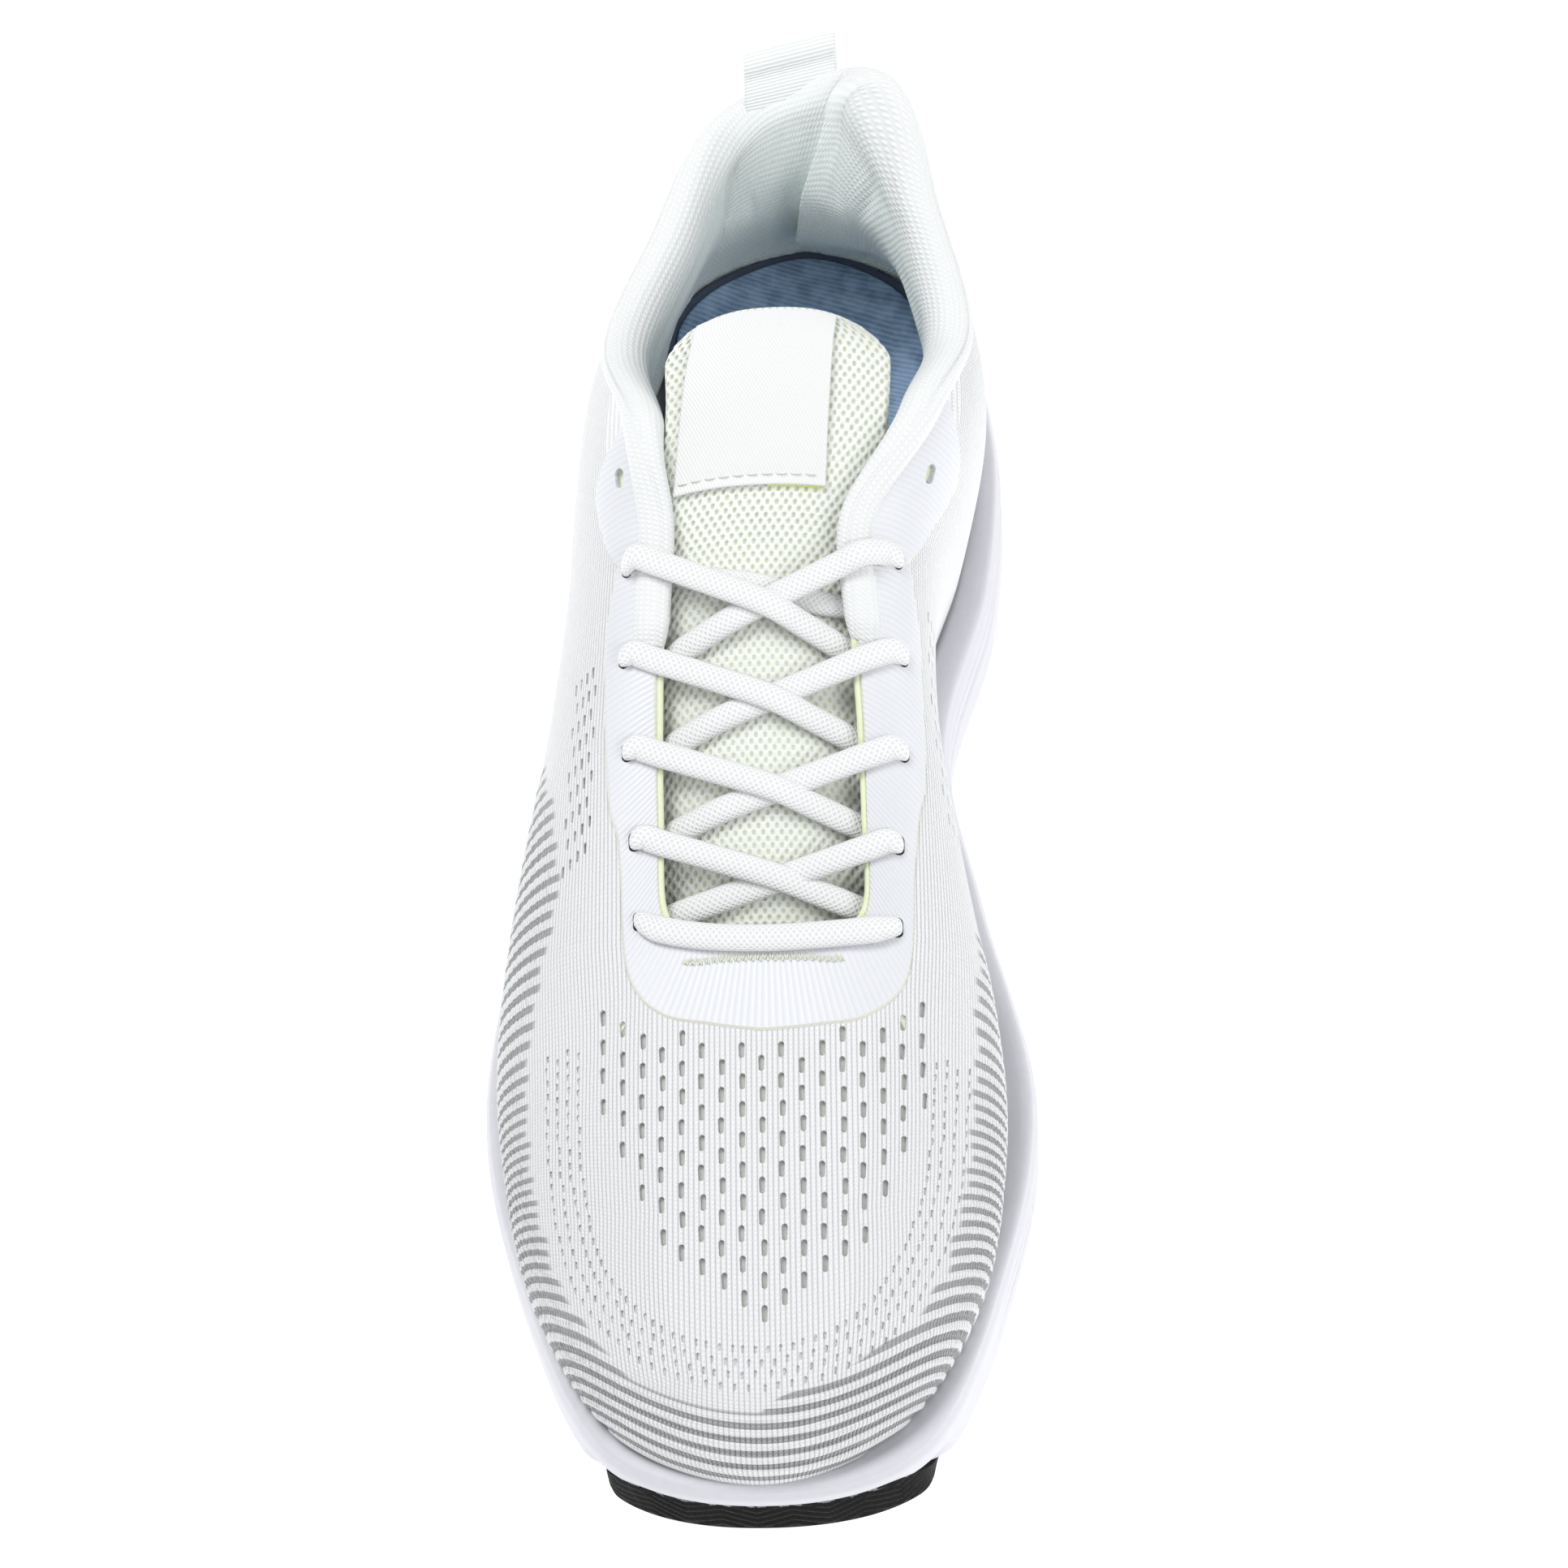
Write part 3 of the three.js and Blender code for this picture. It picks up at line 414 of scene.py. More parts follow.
def bend_at_ball(obj):
    """Bakes the piece's transform into its mesh."""
    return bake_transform(obj)


# ------------------------------------------------------------------ material building
class Shader:
    """A small builder for one procedural material. Distances are millimetres of the rest shape."""

    def __init__(self, name):
        self.material = bpy.data.materials.new(name)
        self.material.use_nodes = True
        self.tree = self.material.node_tree
        self.surface = self.tree.nodes["Principled BSDF"]

    def feed(self, socket, value):
        if isinstance(value, bpy.types.NodeSocket):
            self.tree.links.new(value, socket)
        else:
            socket.default_value = value

    def node(self, kind, inputs, **settings):
        node = self.tree.nodes.new(kind)
        for key, value in settings.items():
            setattr(node, key, value)
        for key, value in inputs.items():
            self.feed(node.inputs[key], value)
        return node

    def math(self, operation, a, b=0.0, c=0.0):
        return self.node("ShaderNodeMath", {0: a, 1: b, 2: c}, operation=operation).outputs[0]

    def times(self, a, b):
        return self.math("MULTIPLY", a, b)

    def scaled(self, value, factor, plus):
        return self.math("MULTIPLY_ADD", value, factor, plus)

    def attribute(self, name):
        return self.node("ShaderNodeAttribute", {}, attribute_name=name).outputs["Vector"]

    def split(self, name="pattern"):
        node = self.node("ShaderNodeSeparateXYZ", {0: self.attribute(name)})
        return list(node.outputs)

    def noise(self, scale, detail=2.0):
        inputs = {"Vector": self.attribute("rest"), "Scale": scale, "Detail": detail}
        return self.node("ShaderNodeTexNoise", inputs).outputs[0]

    def mix(self, factor, a, b):
        node = self.node("ShaderNodeMix", {}, data_type="RGBA")
        for index, value in ((0, factor), (6, a), (7, b)):
            self.feed(node.inputs[index], value)
        return node.outputs[2]

    def step(self, value, low, high):
        inputs = {0: value, 1: low, 2: high}
        return self.node("ShaderNodeMapRange", inputs, interpolation_type="SMOOTHSTEP").outputs[0]

    def wave(self, coordinate, period):
        """A sine between 0 and 1."""
        turned = self.math("SINE", self.times(coordinate, 2 * math.pi / period))
        return self.scaled(turned, 0.5, 0.5)

    def zigzag(self, coordinate, period):
        """A triangle wave between 0 and 1."""
        return self.times(self.math("PINGPONG", coordinate, period / 2), 2 / period)

    def bump(self, height, depth, below=None):
        inputs = {"Height": height, "Distance": depth * MM}
        if below:
            inputs["Normal"] = below
        return self.node("ShaderNodeBump", inputs).outputs[0]

    def done(self, colour, roughness, normal, sheen=0.0):
        self.feed(self.surface.inputs["Base Color"], colour)
        self.feed(self.surface.inputs["Roughness"], roughness)
        self.feed(self.surface.inputs["Sheen Weight"], sheen)
        self.feed(self.surface.inputs["Normal"], normal)
        return self.material


def grey(value, tint=(1, 1, 1)):
    return (*(value * part for part in tint), 1)


# ------------------------------------------------------------------ materials
KNIT_LIGHT = grey(0.87, (0.995, 1, 1.01))
# The groove tone is painted shade: the white yarn is drawn darker in the grooves between the stitches.
KNIT_GROOVE_SHADE = grey(0.63, (0.99, 1, 1.015))
STRIPE_PITCH = 3.6
WALE = 1.05
COURSE = 0.95


def knit_look():
    """V-stitches in columns, with grey gaps between raised ribs where the mask is positive."""
    s = Shader("knit")
    wale, course, mask = s.split()
    across = s.zigzag(wale, WALE)
    strand = s.wave(s.scaled(across, 0.5, course), COURSE)
    crown = s.math("SUBTRACT", 1.0, s.math("POWER", across, 3.0))
    height = s.times(crown, s.scaled(strand, 0.5, 0.5))
    fuzz = s.noise(3.0, 3.0)
    # White yarn runs from the groove tone in each stitch's low parts to the light tone on its crown:
    # painted shade between the yarns.
    white = s.mix(s.scaled(fuzz, 0.25, height), KNIT_GROOVE_SHADE, KNIT_LIGHT)
    gap = s.step(s.wave(course, STRIPE_PITCH), 0.50, 0.36)
    row = s.math("FLOOR", s.math("DIVIDE", course, STRIPE_PITCH))
    ragged = s.times(s.math("FRACT", s.times(row, 0.618)), 1.4)
    inside = s.step(s.math("SUBTRACT", mask, ragged), -0.5, 0.7)
    tone = s.mix(s.step(mask, 2.0, 7.0), grey(0.30, (1, 1.01, 1.04)), grey(0.16, (1, 1.01, 1.05)))
    # The grey yarn keeps its own colour, drawn darker in its low parts with painted shade.
    grey_yarn = s.mix(height, tone, grey(0.44))
    colour = s.mix(s.times(gap, inside), white, grey_yarn)
    return s.done(colour, 0.85, s.bump(height, 0.28), sheen=0.15)


def film_look():
    """Pressed satin film with fine ribs along the foot."""
    s = Shader("eyestay_film")
    run, edge = s.split()[1:]
    rib = s.wave(run, 1.3)
    tone = s.mix(s.noise(0.05), grey(0.72, (0.98, 0.992, 1.04)), grey(0.77, (0.985, 0.995, 1.03)))
    lined = s.mix(s.times(s.step(rib, 0.7, 1.0), 0.5), tone, grey(0.65, (0.98, 0.992, 1.03)))
    colour = s.mix(s.step(edge, 0.9, 0.35), lined, (0.72, 0.71, 0.64, 1))
    return s.done(colour, 0.42, s.bump(rib, 0.09, s.bump(s.noise(2.5), 0.03)))


TONGUE_HOLE_ACROSS = 1.9         # periods of the spacer mesh's holes
TONGUE_HOLE_ALONG = 2.7


def mesh_look():
    """Spacer mesh: pale yarn; the floors of its holes keep their own lime tint, darkened with painted
    shade.
    """
    s = Shader("tongue_mesh")
    across, run = s.split()[:2]
    columns = s.math("COSINE", s.times(across, 2 * math.pi / TONGUE_HOLE_ACROSS))
    rows = s.math("COSINE", s.times(run, 2 * math.pi / TONGUE_HOLE_ALONG))
    hole = s.step(s.times(columns, rows), 0.10, 0.42)
    yarn = s.mix(s.noise(2.2), (0.93, 0.95, 0.88, 1), (0.97, 0.975, 0.94, 1))
    # The hole colour is the floors' lime tint with painted shade.
    colour = s.mix(hole, yarn, (0.72, 0.77, 0.62, 1))
    strand = s.wave(s.math("ADD", across, run), 0.45)
    return s.done(colour, 0.8, s.bump(strand, 0.08), sheen=0.1)


def label_look():
    """Fine white twill."""
    s = Shader("woven_label")
    across, run = s.split()[:2]
    twill = s.wave(s.scaled(run, 0.6, across), 0.7)
    colour = s.mix(twill, grey(0.76, (1, 1, 0.985)), grey(0.82, (1, 1, 0.99)))
    return s.done(colour, 0.42, s.bump(twill, 0.05))


def lace_look():
    """Two sets of crossing strands round an oval braid."""
    s = Shader("lace_braid")
    run, turn = s.split()[:2]
    around = s.times(turn, 12.0)
    pitch = s.math("DIVIDE", run, 1.25)
    one = s.wave(s.math("ADD", pitch, around), 1.0)
    two = s.wave(s.math("SUBTRACT", pitch, around), 1.0)
    braid = s.math("MAXIMUM", one, two)
    colour = s.mix(braid, grey(0.72), grey(0.86))
    return s.done(colour, 0.75, s.bump(braid, 0.16), sheen=0.1)


def collar_look():
    """Dotted lining weave, in a cool mint white."""
    s = Shader("collar_mesh")
    across, down = s.split()[:2]
    staggered = s.scaled(down, 0.5, across)
    dots = s.times(s.wave(staggered, 1.15), s.wave(down, 1.3))
    # Two copies of the lining: light, the mint white drawn brighter, and plain, a greyer copy; the mint
    # tint is the lining's own, the difference in brightness is painted light and shade.
    light = s.mix(s.step(dots, 0.1, 0.6), (0.84, 0.905, 0.88, 1), (0.92, 0.97, 0.945, 1))
    plain = s.mix(s.step(dots, 0.1, 0.6), grey(0.78, (0.99, 1, 0.995)), grey(0.87, (0.99, 1, 0.995)))
    # Greyer on the lip and the roll, where light falls, and lighter down inside the opening, where shade
    # falls: painted to even out the light.
    colour = s.mix(s.step(down, -2.0, 12.0), plain, light)
    return s.done(colour, 0.88, s.bump(dots, 0.16), sheen=0.2)


def sockliner_look():
    """Heathered slate-blue twill."""
    s = Shader("sockliner_twill")
    x, y = s.split("rest")[:2]
    twill = s.wave(s.scaled(x, 0.3, y), 1.1)
    cloud = s.step(s.noise(0.22, 5.0), 0.3, 0.7)
    mixed = s.scaled(cloud, 0.6, s.times(twill, 0.4))
    colour = s.mix(mixed, (0.14, 0.22, 0.34, 1), (0.38, 0.52, 0.72, 1))
    return s.done(colour, 0.92, s.bump(twill, 0.08), sheen=0.3)


def foam_look(name, low, high, roughness=0.6, scale=0.5):
    """Two close tones in clouds over a fine grain."""
    s = Shader(name)
    return s.done(s.mix(s.noise(scale), low, high), roughness, s.bump(s.noise(2.5, 3.0), 0.03))


def rubber_look():
    """Near-black matt rubber with a fine grain."""
    s = Shader("outsole_rubber")
    colour = s.mix(s.noise(0.4, 3.0), (0.005, 0.005, 0.005, 1), (0.012, 0.012, 0.011, 1))
    s.feed(s.surface.inputs["Specular IOR Level"], 0.1)
    return s.done(colour, s.scaled(s.noise(0.8), 0.15, 0.6), s.bump(s.noise(3.0, 3.0), 0.04))


def webbing_look():
    """Cross-ribbed white webbing."""
    s = Shader("webbing")
    weft = s.wave(s.split()[0], 0.7)
    colour = s.mix(weft, grey(0.74, (0.97, 1, 0.99)), grey(0.90, (0.98, 1, 0.99)))
    return s.done(colour, 0.8, s.bump(weft, 0.1))


KNIT = knit_look()
FILM = film_look()
SPACER_MESH = mesh_look()
LABEL = label_look()
LACE = lace_look()
COLLAR = collar_look()
TWILL = sockliner_look()
MIDSOLE = foam_look("midsole_foam", grey(0.62, (0.985, 0.98, 1.04)), grey(0.67, (0.985, 0.98, 1.04)))
INNER_FOAM = foam_look("inner_foam", (0.05, 0.07, 0.11, 1), (0.08, 0.10, 0.15, 1), 0.9)
BOARD = foam_look("strobel_fleece", (0.62, 0.60, 0.55, 1), (0.70, 0.68, 0.63, 1), 0.95, 1.5)
BACKING = foam_look("lining_mesh", (0.52, 0.52, 0.49, 1), (0.70, 0.70, 0.66, 1), 0.95, 2.2)
TAPE = foam_look("backing_tape", (0.82, 0.87, 0.68, 1), (0.88, 0.92, 0.76, 1), 0.8, 1.0)
STIFFENER = foam_look("stiffener", grey(0.55), grey(0.62), 0.7)
LIME = foam_look("raw_edge", (0.70, 0.76, 0.50, 1), (0.82, 0.86, 0.64, 1), 0.8, 1.5)
THREAD = foam_look("thread", (0.74, 0.74, 0.70, 1), (0.84, 0.84, 0.80, 1), 0.6, 3.0)
LIME_THREAD = foam_look("lime_thread", (0.62, 0.75, 0.10, 1), (0.75, 0.86, 0.2, 1), 0.6, 3.0)
PLASTIC = foam_look("aglet_plastic", grey(0.82), grey(0.88), 0.25, 1.0)
TONGUE_LINING = foam_look("tongue_lining", (0.80, 0.86, 0.84, 1), (0.86, 0.90, 0.88, 1), 0.9, 2.0)
LIME_STITCH = foam_look("base_stitch", (0.66, 0.68, 0.56, 1), (0.74, 0.76, 0.64, 1), 0.7, 2.0)
RUBBER = rubber_look()
WEBBING = webbing_look()


# ------------------------------------------------------------------ knitted upper
# Inner ends of the stripes: y, lateral x, medial x.
STRIPE_EDGE = [(-136, -9, 1), (-133.6, -15, 5), (-129, -22, 18), (-119.5, -31, 31), (-108, -37.5, 37.6),
               (-92, -42.5, 42), (-71, -45, 44.5), (-54, -43.5, 45), (-30, -38, 46), (-12, -39, 47),
               (4, -43, 49), (20, -50, 52)]
STRIPES_ALL_ACROSS = -136.5       # in front of this course the stripes run from side to side
# Half width of the field of large holes along y.
HOLE_FIELD = [(-119, 4), (-114, 11), (-107, 19), (-99, 24), (-88, 29), (-78, 32), (-66, 33.5), (-55, 34)]
HOLE_MIDDLE = 3.0
HOLE_PITCH_X = 4.0
HOLE_PITCH_Y = 6.1
SMALL_HOLE_PATH = [(-37.5, -62), (-37, -84), (-33, -106), (-23, -120), (-11.6, -126.5), (4, -128.5),
                   (19, -124), (30, -113), (38, -94), (41, -66)]
SIDE_SLITS = [(True, -12, 16, 5.0, 6.0), (False, -4, 30, 3.2, 4.8)]    # side, y from, y to, rows


def knit_pattern(points):
    """Wale and course coordinates and the stripe mask, from a position alone."""
    x, y, z = points.T
    bow = 0.012 * smooth(-60, -130, y)
    centred = x - 2.5
    drop = np.maximum(0, crown_height(y) - z)
    side = centred + np.sign(centred) * 0.9 * drop * smooth(0, 20, np.abs(centred))
    slope = 0.85 * smooth(-116, -138, y) * np.maximum(0, 46 - z)
    course = y - bow * centred ** 2 - slope
    edge_y, lateral, medial = zip(*STRIPE_EDGE)
    mask = np.maximum(np.interp(y, edge_y, lateral) - x, x - np.interp(y, edge_y, medial))
    mask = np.maximum(mask, STRIPES_ALL_ACROSS - course)
    return np.stack([side, course, mask], axis=-1)


def crown_height(y):
    """Height of the upper along its top, which the side's wales are measured down from."""
    return np.interp(y, [-145, -130, -98, -43, 0, 40, 90, 145], [38, 47, 56, 66, 78, 93, 92, 104])


FRONT_COLUMNS = np.linspace(-15, 15, 601)
FRONT_ROWS = np.linspace(1.5, ROWS, 201)
FRONT = upper(FRONT_COLUMNS[:, None] % COLUMNS, FRONT_ROWS[None, :]).reshape(-1, 3)


def on_vamp(x, y):
    """The vamp's point above (x, y), and its normal."""
    nearest = np.argmin((FRONT[:, 0] - x) ** 2 + (FRONT[:, 1] - y) ** 2)
    i, j = divmod(int(nearest), len(FRONT_ROWS))
    return on_upper(FRONT_COLUMNS[i] % COLUMNS, FRONT_ROWS[j])


def big_holes():
    """Staggered columns of slots over the toes, in a field that narrows towards the tip."""
    places = []
    for i in range(-9, 10):
        away = i * HOLE_PITCH_X
        rearmost = -65 + 10 * (abs(away) / 34) ** 2
        for j in range(13):
            y = -118.5 + (j + 0.5 * (i % 2)) * HOLE_PITCH_Y
            if y <= rearmost and abs(away) <= along(HOLE_FIELD, y):
                places.append((*on_vamp(HOLE_MIDDLE + away, y), HEELWARDS))
    return places


def small_holes():
    """Four staggered rows along an arc round the toe box."""
    places = []
    path = catmull(SMALL_HOLE_PATH, np.linspace(0, 1, 400), False)
    run = run_length(path)
    for lane, offset in enumerate((-3.3, -1.1, 1.1, 3.3)):
        for distance in np.arange(1 + 1.3 * (lane % 2), run[-1] - 1, 2.6):
            here, ahead = resample(path, run, distance + np.array([0, 0.5]))
            tangent = unit(ahead - here)
            x, y = here + offset * np.array([-tangent[1], tangent[0]])
            places.append((*on_vamp(x, y), HEELWARDS))
    return places


def side_slits():
    """Short slots on each side, next to the eyelets."""
    places = []
    for lateral, low, high, row_low, row_high in SIDE_SLITS:
        for j, y in enumerate(np.arange(low, high, 3.4)):
            for k in range(4):
                row = mix(row_low, row_high, (k + 0.5 * (j % 2)) / 4)
                column = rim_column(y, lateral) + (0.35 if lateral else -0.35)
                places.append((*on_upper(column, row), np.array([0, 1.0, 0.3])))
    return places


def eyelet_places(rows):
    """Each eyelet's centre, normal and long direction."""
    return [(*beside_throat(lateral, y, EYELET_SETBACK[lateral]), np.array([0, 1.0, 0.4]))
            for lateral in (True, False) for y in rows]


def eyelet_pins(rows=EYELET_Y):
    return prisms(eyelet_places(rows), EYELET_HALF_LENGTH, EYELET_HALF_WIDTH, 4, 5, sides=16)


def make_knit():
    """The knitted shell, one continuous piece with its perforations cut through."""
    columns = np.linspace(0, COLUMNS, 721)[:-1]
    top_row = ROWS - 0.06
    outer, normal = on_upper(columns[:, None], np.linspace(0, top_row, 100)[None, :])
    pattern = knit_pattern(outer.reshape(-1, 3)).reshape(outer.shape)
    ridge = 0.5 + 0.5 * np.sin(2 * np.pi * pattern[..., 1] / STRIPE_PITCH)
    raised = 0.4 * smooth(0.3, 0.6, ridge) * smooth(0, 3, pattern[..., 2])
    outer = outer + normal * raised[..., None]
    back, back_normal = on_upper(columns[:, None], np.linspace(0, top_row, 14)[None, :])
    inner = back - KNIT_THICKNESS * back_normal
    knit = shell("knit_upper", outer, inner, wrap_u=True)
    cut(knit, prisms(big_holes(), 1.7, 0.62, 1.2, 1.6))
    cut(knit, prisms(small_holes(), 0.75, 0.36, 1.2, 0.45, sides=8))
    cut(knit, prisms(side_slits(), 1.25, 0.34, 1.2, 1.6, sides=8))
    cut(knit, eyelet_pins())
    store(knit, "pattern", knit_pattern(positions(knit)))
    place(knit, KNIT, slot="knit", stands_for=("knit_upper_rear", "knit_upper_toe"))
    bend_at_ball(knit)


def sheet_patch(name, columns, low, high, row_count, outer, inner):
    """A closed sheet over part of the upper, between two rows and two depths below the surface."""
    surface, normal = on_upper((columns % COLUMNS)[:, None], np.linspace(low, high, row_count)[None, :])
    return shell(name, surface - normal * outer, surface - normal * inner)


def make_inner_layers():
    """Grey backing mesh behind the perforations, and the stiffeners at toe and heel."""
    backing = sheet_patch("vamp_backing", np.linspace(-14.2, 14.2, 140), 0.1, ROWS - 0.1, 40, 1.05, 1.5)
    cut(backing, eyelet_pins(EYELET_Y[:LACED_ROWS]))
    place(backing, BACKING, slot="lining", stands_for=("vamp_lining_rear", "vamp_lining_toe"))
    bend_at_ball(backing)
    puff = sheet_patch("toe_puff_shape", np.linspace(-5, 5, 50), 0.1, 2, 8, 0.9, 1.4)
    place(puff, STIFFENER, "toe", "stiffener", ("toe_puff",))
    counter = sheet_patch("heel_counter_shape", np.linspace(17, 31, 60), 0.1, 4, 16, 0.95, 2.1)
    place(counter, STIFFENER, "shoe", "stiffener", ("heel_counter",))


# ------------------------------------------------------------------ film round the eyelets
FILM_START = 1.0                 # the film begins this far from the throat's edge
# Distance of the film's outer edge from the throat's edge along the upper's columns.
FILM_WIDTH = [(-13.6, 15), (-12.5, 17.5), (-9.7, 18.5), (-9.3, 17), (-6.5, 17), (-4.5, 18.5), (0, 20),
              (4.5, 17), (6.5, 14), (8.7, 13), (9.1, 14.5), (12.5, 13.5), (13.6, 11)]
UPPER_FILM_WIDTH = {
    True: [(12.9, 4), (13.3, 11), (13.9, 15), (14.8, 17.5), (15.3, 16.5), (15.75, 11), (16.1, 4)],
    False: [(12.9, 5), (13.3, 14), (13.9, 19), (14.8, 22), (15.4, 20.5), (15.85, 13), (16.25, 5)],
}


def film_sheet(name, columns, widths, thick):
    """A film patch beside the throat edge whose width (mm) follows the column."""
    width = smooth_knots(widths, columns)
    distance = mix(FILM_START, width[:, None], np.linspace(0, 1, 40)[None, :])
    surface, normal = on_upper((columns % COLUMNS)[:, None], rows_at(columns % COLUMNS, distance))
    edge = np.minimum(distance - FILM_START, width[:, None] - distance)
    lift = 0.06 + thick * smooth(0, 0.5, edge)
    rim = upper(columns % COLUMNS, ROWS - 0.6)
    run = run_length(rim)
    pattern = np.stack([distance, run[:, None] + 0 * distance, edge], axis=-1)
    return shell(name, surface + normal * lift[..., None], surface - normal * 0.1, pattern=pattern)


def smooth_knots(knots, values):
    """Straight runs between knots, softened at the corners."""
    return sum(along(knots, values + shift) for shift in (-0.2, -0.1, 0, 0.1, 0.2)) / 5


def cut_keeping_pattern(obj, cutters):
    """Cuts, then takes the pattern back from the nearest original points."""
    before = positions(obj)
    data = stored(obj, "pattern")
    cut(obj, cutters)
    tree = kdtree.KDTree(len(before))
    for index, point in enumerate(before):
        tree.insert(point, index)
    tree.balance()
    picked = []
    for point in positions(obj):
        found = tree.find_n(point, 3)
        weights = [1 / (distance + 0.01) for spot, index, distance in found]
        picked.append(np.average(data[[index for spot, index, distance in found]], axis=0, weights=weights))
    store(obj, "pattern", picked)


def make_films():
    """The film round the throat, the patch at each top eyelet and the tape behind each row."""
    film = film_sheet("eyestay_film", np.linspace(-13.6, 13.6, 330), FILM_WIDTH, 0.45)
    cut_keeping_pattern(film, eyelet_pins())
    place(film, FILM, slot="film", stands_for=("eyestay_overlay",))
    bend_at_ball(film)
    for lateral, side in ((True, "lateral"), (False, "medial")):
        knots = UPPER_FILM_WIDTH[lateral]
        if not lateral:
            knots = [(-c, w) for c, w in knots[::-1]]
        columns = np.linspace(knots[0][0], knots[-1][0], 60)
        patch = film_sheet(f"upper_eyelet_film_{side}", columns, knots, 0.75)
        cut_keeping_pattern(patch, eyelet_pins())
        place(patch, FILM, "shoe", "film", (f"upper_eyelet_overlay_{side}",))
        tape_columns = np.linspace(5, 15.8, 60) * (1 if lateral else -1)
        tape = sheet_patch(f"eyestay_tape_{side}", tape_columns, 6.2, ROWS - 0.15, 14, 0.85, 1.2)
        cut(tape, eyelet_pins(EYELET_Y[:LACED_ROWS]))
        place(tape, TAPE, "shoe", "backing_tape", (f"eyestay_backing_{side}",))


def make_throat_edge():
    """Raw lime-tinted edge round the throat, from the padded band on one side to the other."""
    columns = np.linspace(-12.2, 12.2, 500)
    c = columns % COLUMNS
    normal = upper_normal(c, ROWS - 0.06)
    path = upper(c, ROWS - 0.03) - normal * 0.45
    edge = tube("throat_edge", path, np.cross(normal, tangents(path)), normal, 0.75, 0.75, 10)
    place(edge, LIME, "shoe", "knit")


# ------------------------------------------------------------------ collar
COLLAR_START = 11.6
COLLAR_ROWS_INSIDE = 38
LINING_BOTTOM = 0.12             # row at the foot of the lining
LOBE_COLUMN = 26.2               # the padding stands highest here, beside the heel tab
CREASE_COLUMN = 25.1             # the fold runs down the lining from here
SWELL_WAY = np.array([-0.92, -0.38, 0])       # the medial padding leans over the fold this way


def collar_columns():
    return np.linspace(COLLAR_START, COLUMNS - COLLAR_START, 300)


def rim_to_row(columns, row):
    """Distance (mm) along the surface from the rim down to a row."""
    points = upper(columns[:, None], np.linspace(ROWS, row, 61)[None, :])
    return np.linalg.norm(np.diff(points, axis=1), axis=-1).sum(axis=1)


def make_collar():
    """Padding and lining in one: a lip outside, a roll over the topline, a padded wall down inside."""
    columns = collar_columns()
    ends = np.minimum(columns - COLLAR_START, COLUMNS - COLLAR_START - columns)
    full = smooth(3.0, 5.5, ends)                  # 0 along the throat, 1 round the ankle
    taper = smooth(-0.3, 0.5, ends)
    lobe = np.exp(-((columns - LOBE_COLUMN) / 1.1) ** 2)
    puff = mix(1.9, 2.4, full) * taper             # how far the roll stands out over the knit
    inner = mix(2.4, 8.0, full)                    # and how far it reaches in over the opening
    crest = (mix(1.7, 4.2, full) + 3.6 * lobe) * taper
    lip = mix(7.0, 4.5, full)
    depth = mix(9.0, rim_to_row(columns, LINING_BOTTOM), smooth(3.5, 6.0, ends))
    rim, normal = upper(columns, ROWS), upper_normal(columns, ROWS - 0.05)
    up = unit(rim - upper(columns, ROWS - 0.2))
    skin, back, coordinate = [], [], []
    for share in np.linspace(1, 0, 7)[:-1]:
        distance = lip * share
        surface, outward = on_upper(columns, rows_at(columns, distance))
        height = 0.1 + (puff - 0.1) * smooth(1.0, 0.55, share)
        skin.append(surface + outward * height[:, None])
        back.append(surface + outward * 0.02)
        coordinate.append(-distance - 3)
    for angle in np.linspace(0, np.pi, 12):
        across = mix(puff, -inner, (1 - np.cos(angle)) / 2)
        skin.append(rim + up * (crest * np.sin(angle))[:, None] + normal * across[:, None])
        back.append(rim + up * 0.25 + normal * mix(0.02, -1.1, angle / np.pi))
        coordinate.append(inner * (angle - np.pi * 0.5) * 0.6)
    for share in np.linspace(0, 1, COLLAR_ROWS_INSIDE)[1:]:
        distance = depth * share
        surface, outward = on_upper(columns, rows_at(columns, distance))
        bulge = inner + 2.8 * smooth(0, 14, distance) - 7.2 * smooth(18, 56, distance)
        thickness = mix(mix(inner, 1.6, share), bulge, smooth(0, 0.1, full))
        skin.append(surface - outward * thickness[:, None])
        back.append(surface - outward * np.minimum(1.15, thickness * 0.6)[:, None])
        coordinate.append(distance + inner * 0.95)
    skin, back = np.array(skin).transpose(1, 0, 2), np.array(back).transpose(1, 0, 2)
    run = run_length(upper(columns, 6))
    down = np.array(coordinate).T
    pattern = np.stack([run[:, None] + 0 * down, down, 0 * down], axis=-1)
    collar = shell("collar_padding", skin, back, pattern=pattern)
    free = np.zeros(2 * down.size, bool)
    free[:down.size] = ((down > -2) & (full[:, None] > 0.3) & (down < depth[:, None] - 3)).ravel()
    inflate(collar, free, 1.2, 3.0)
    crease(collar)
    subdivide(collar)
    place(collar, COLLAR, "shoe", "collar_mesh", ("collar_foam", "collar_lining"))


def crease(collar):
    """A fold down the lining beside the heel tab, with the medial padding swelling over it."""
    run, down = stored(collar, "pattern").T[:2]
    columns = collar_columns()
    at = np.interp(CREASE_COLUMN, columns, run_length(upper(columns, 6)))
    offset = run - at + 0.2 * down
    fade = smooth(-4, 3, down) * smooth(60, 42, down)
    groove = np.exp(-(offset / 1.5) ** 2) * fade
    swell = smooth(0.0, 4.0, offset) * smooth(40, 12, offset) * smooth(-5, 3, down) * smooth(64, 46, down)
    swell *= mix(5.0, 10.0, smooth(2, 26, down))
    points = positions(collar)
    points -= read(collar.data.vertices, "normal") * (2.4 * groove)[:, None]
    points += SWELL_WAY * swell[:, None]
    collar.data.vertices.foreach_set("co", (points * MM).ravel())


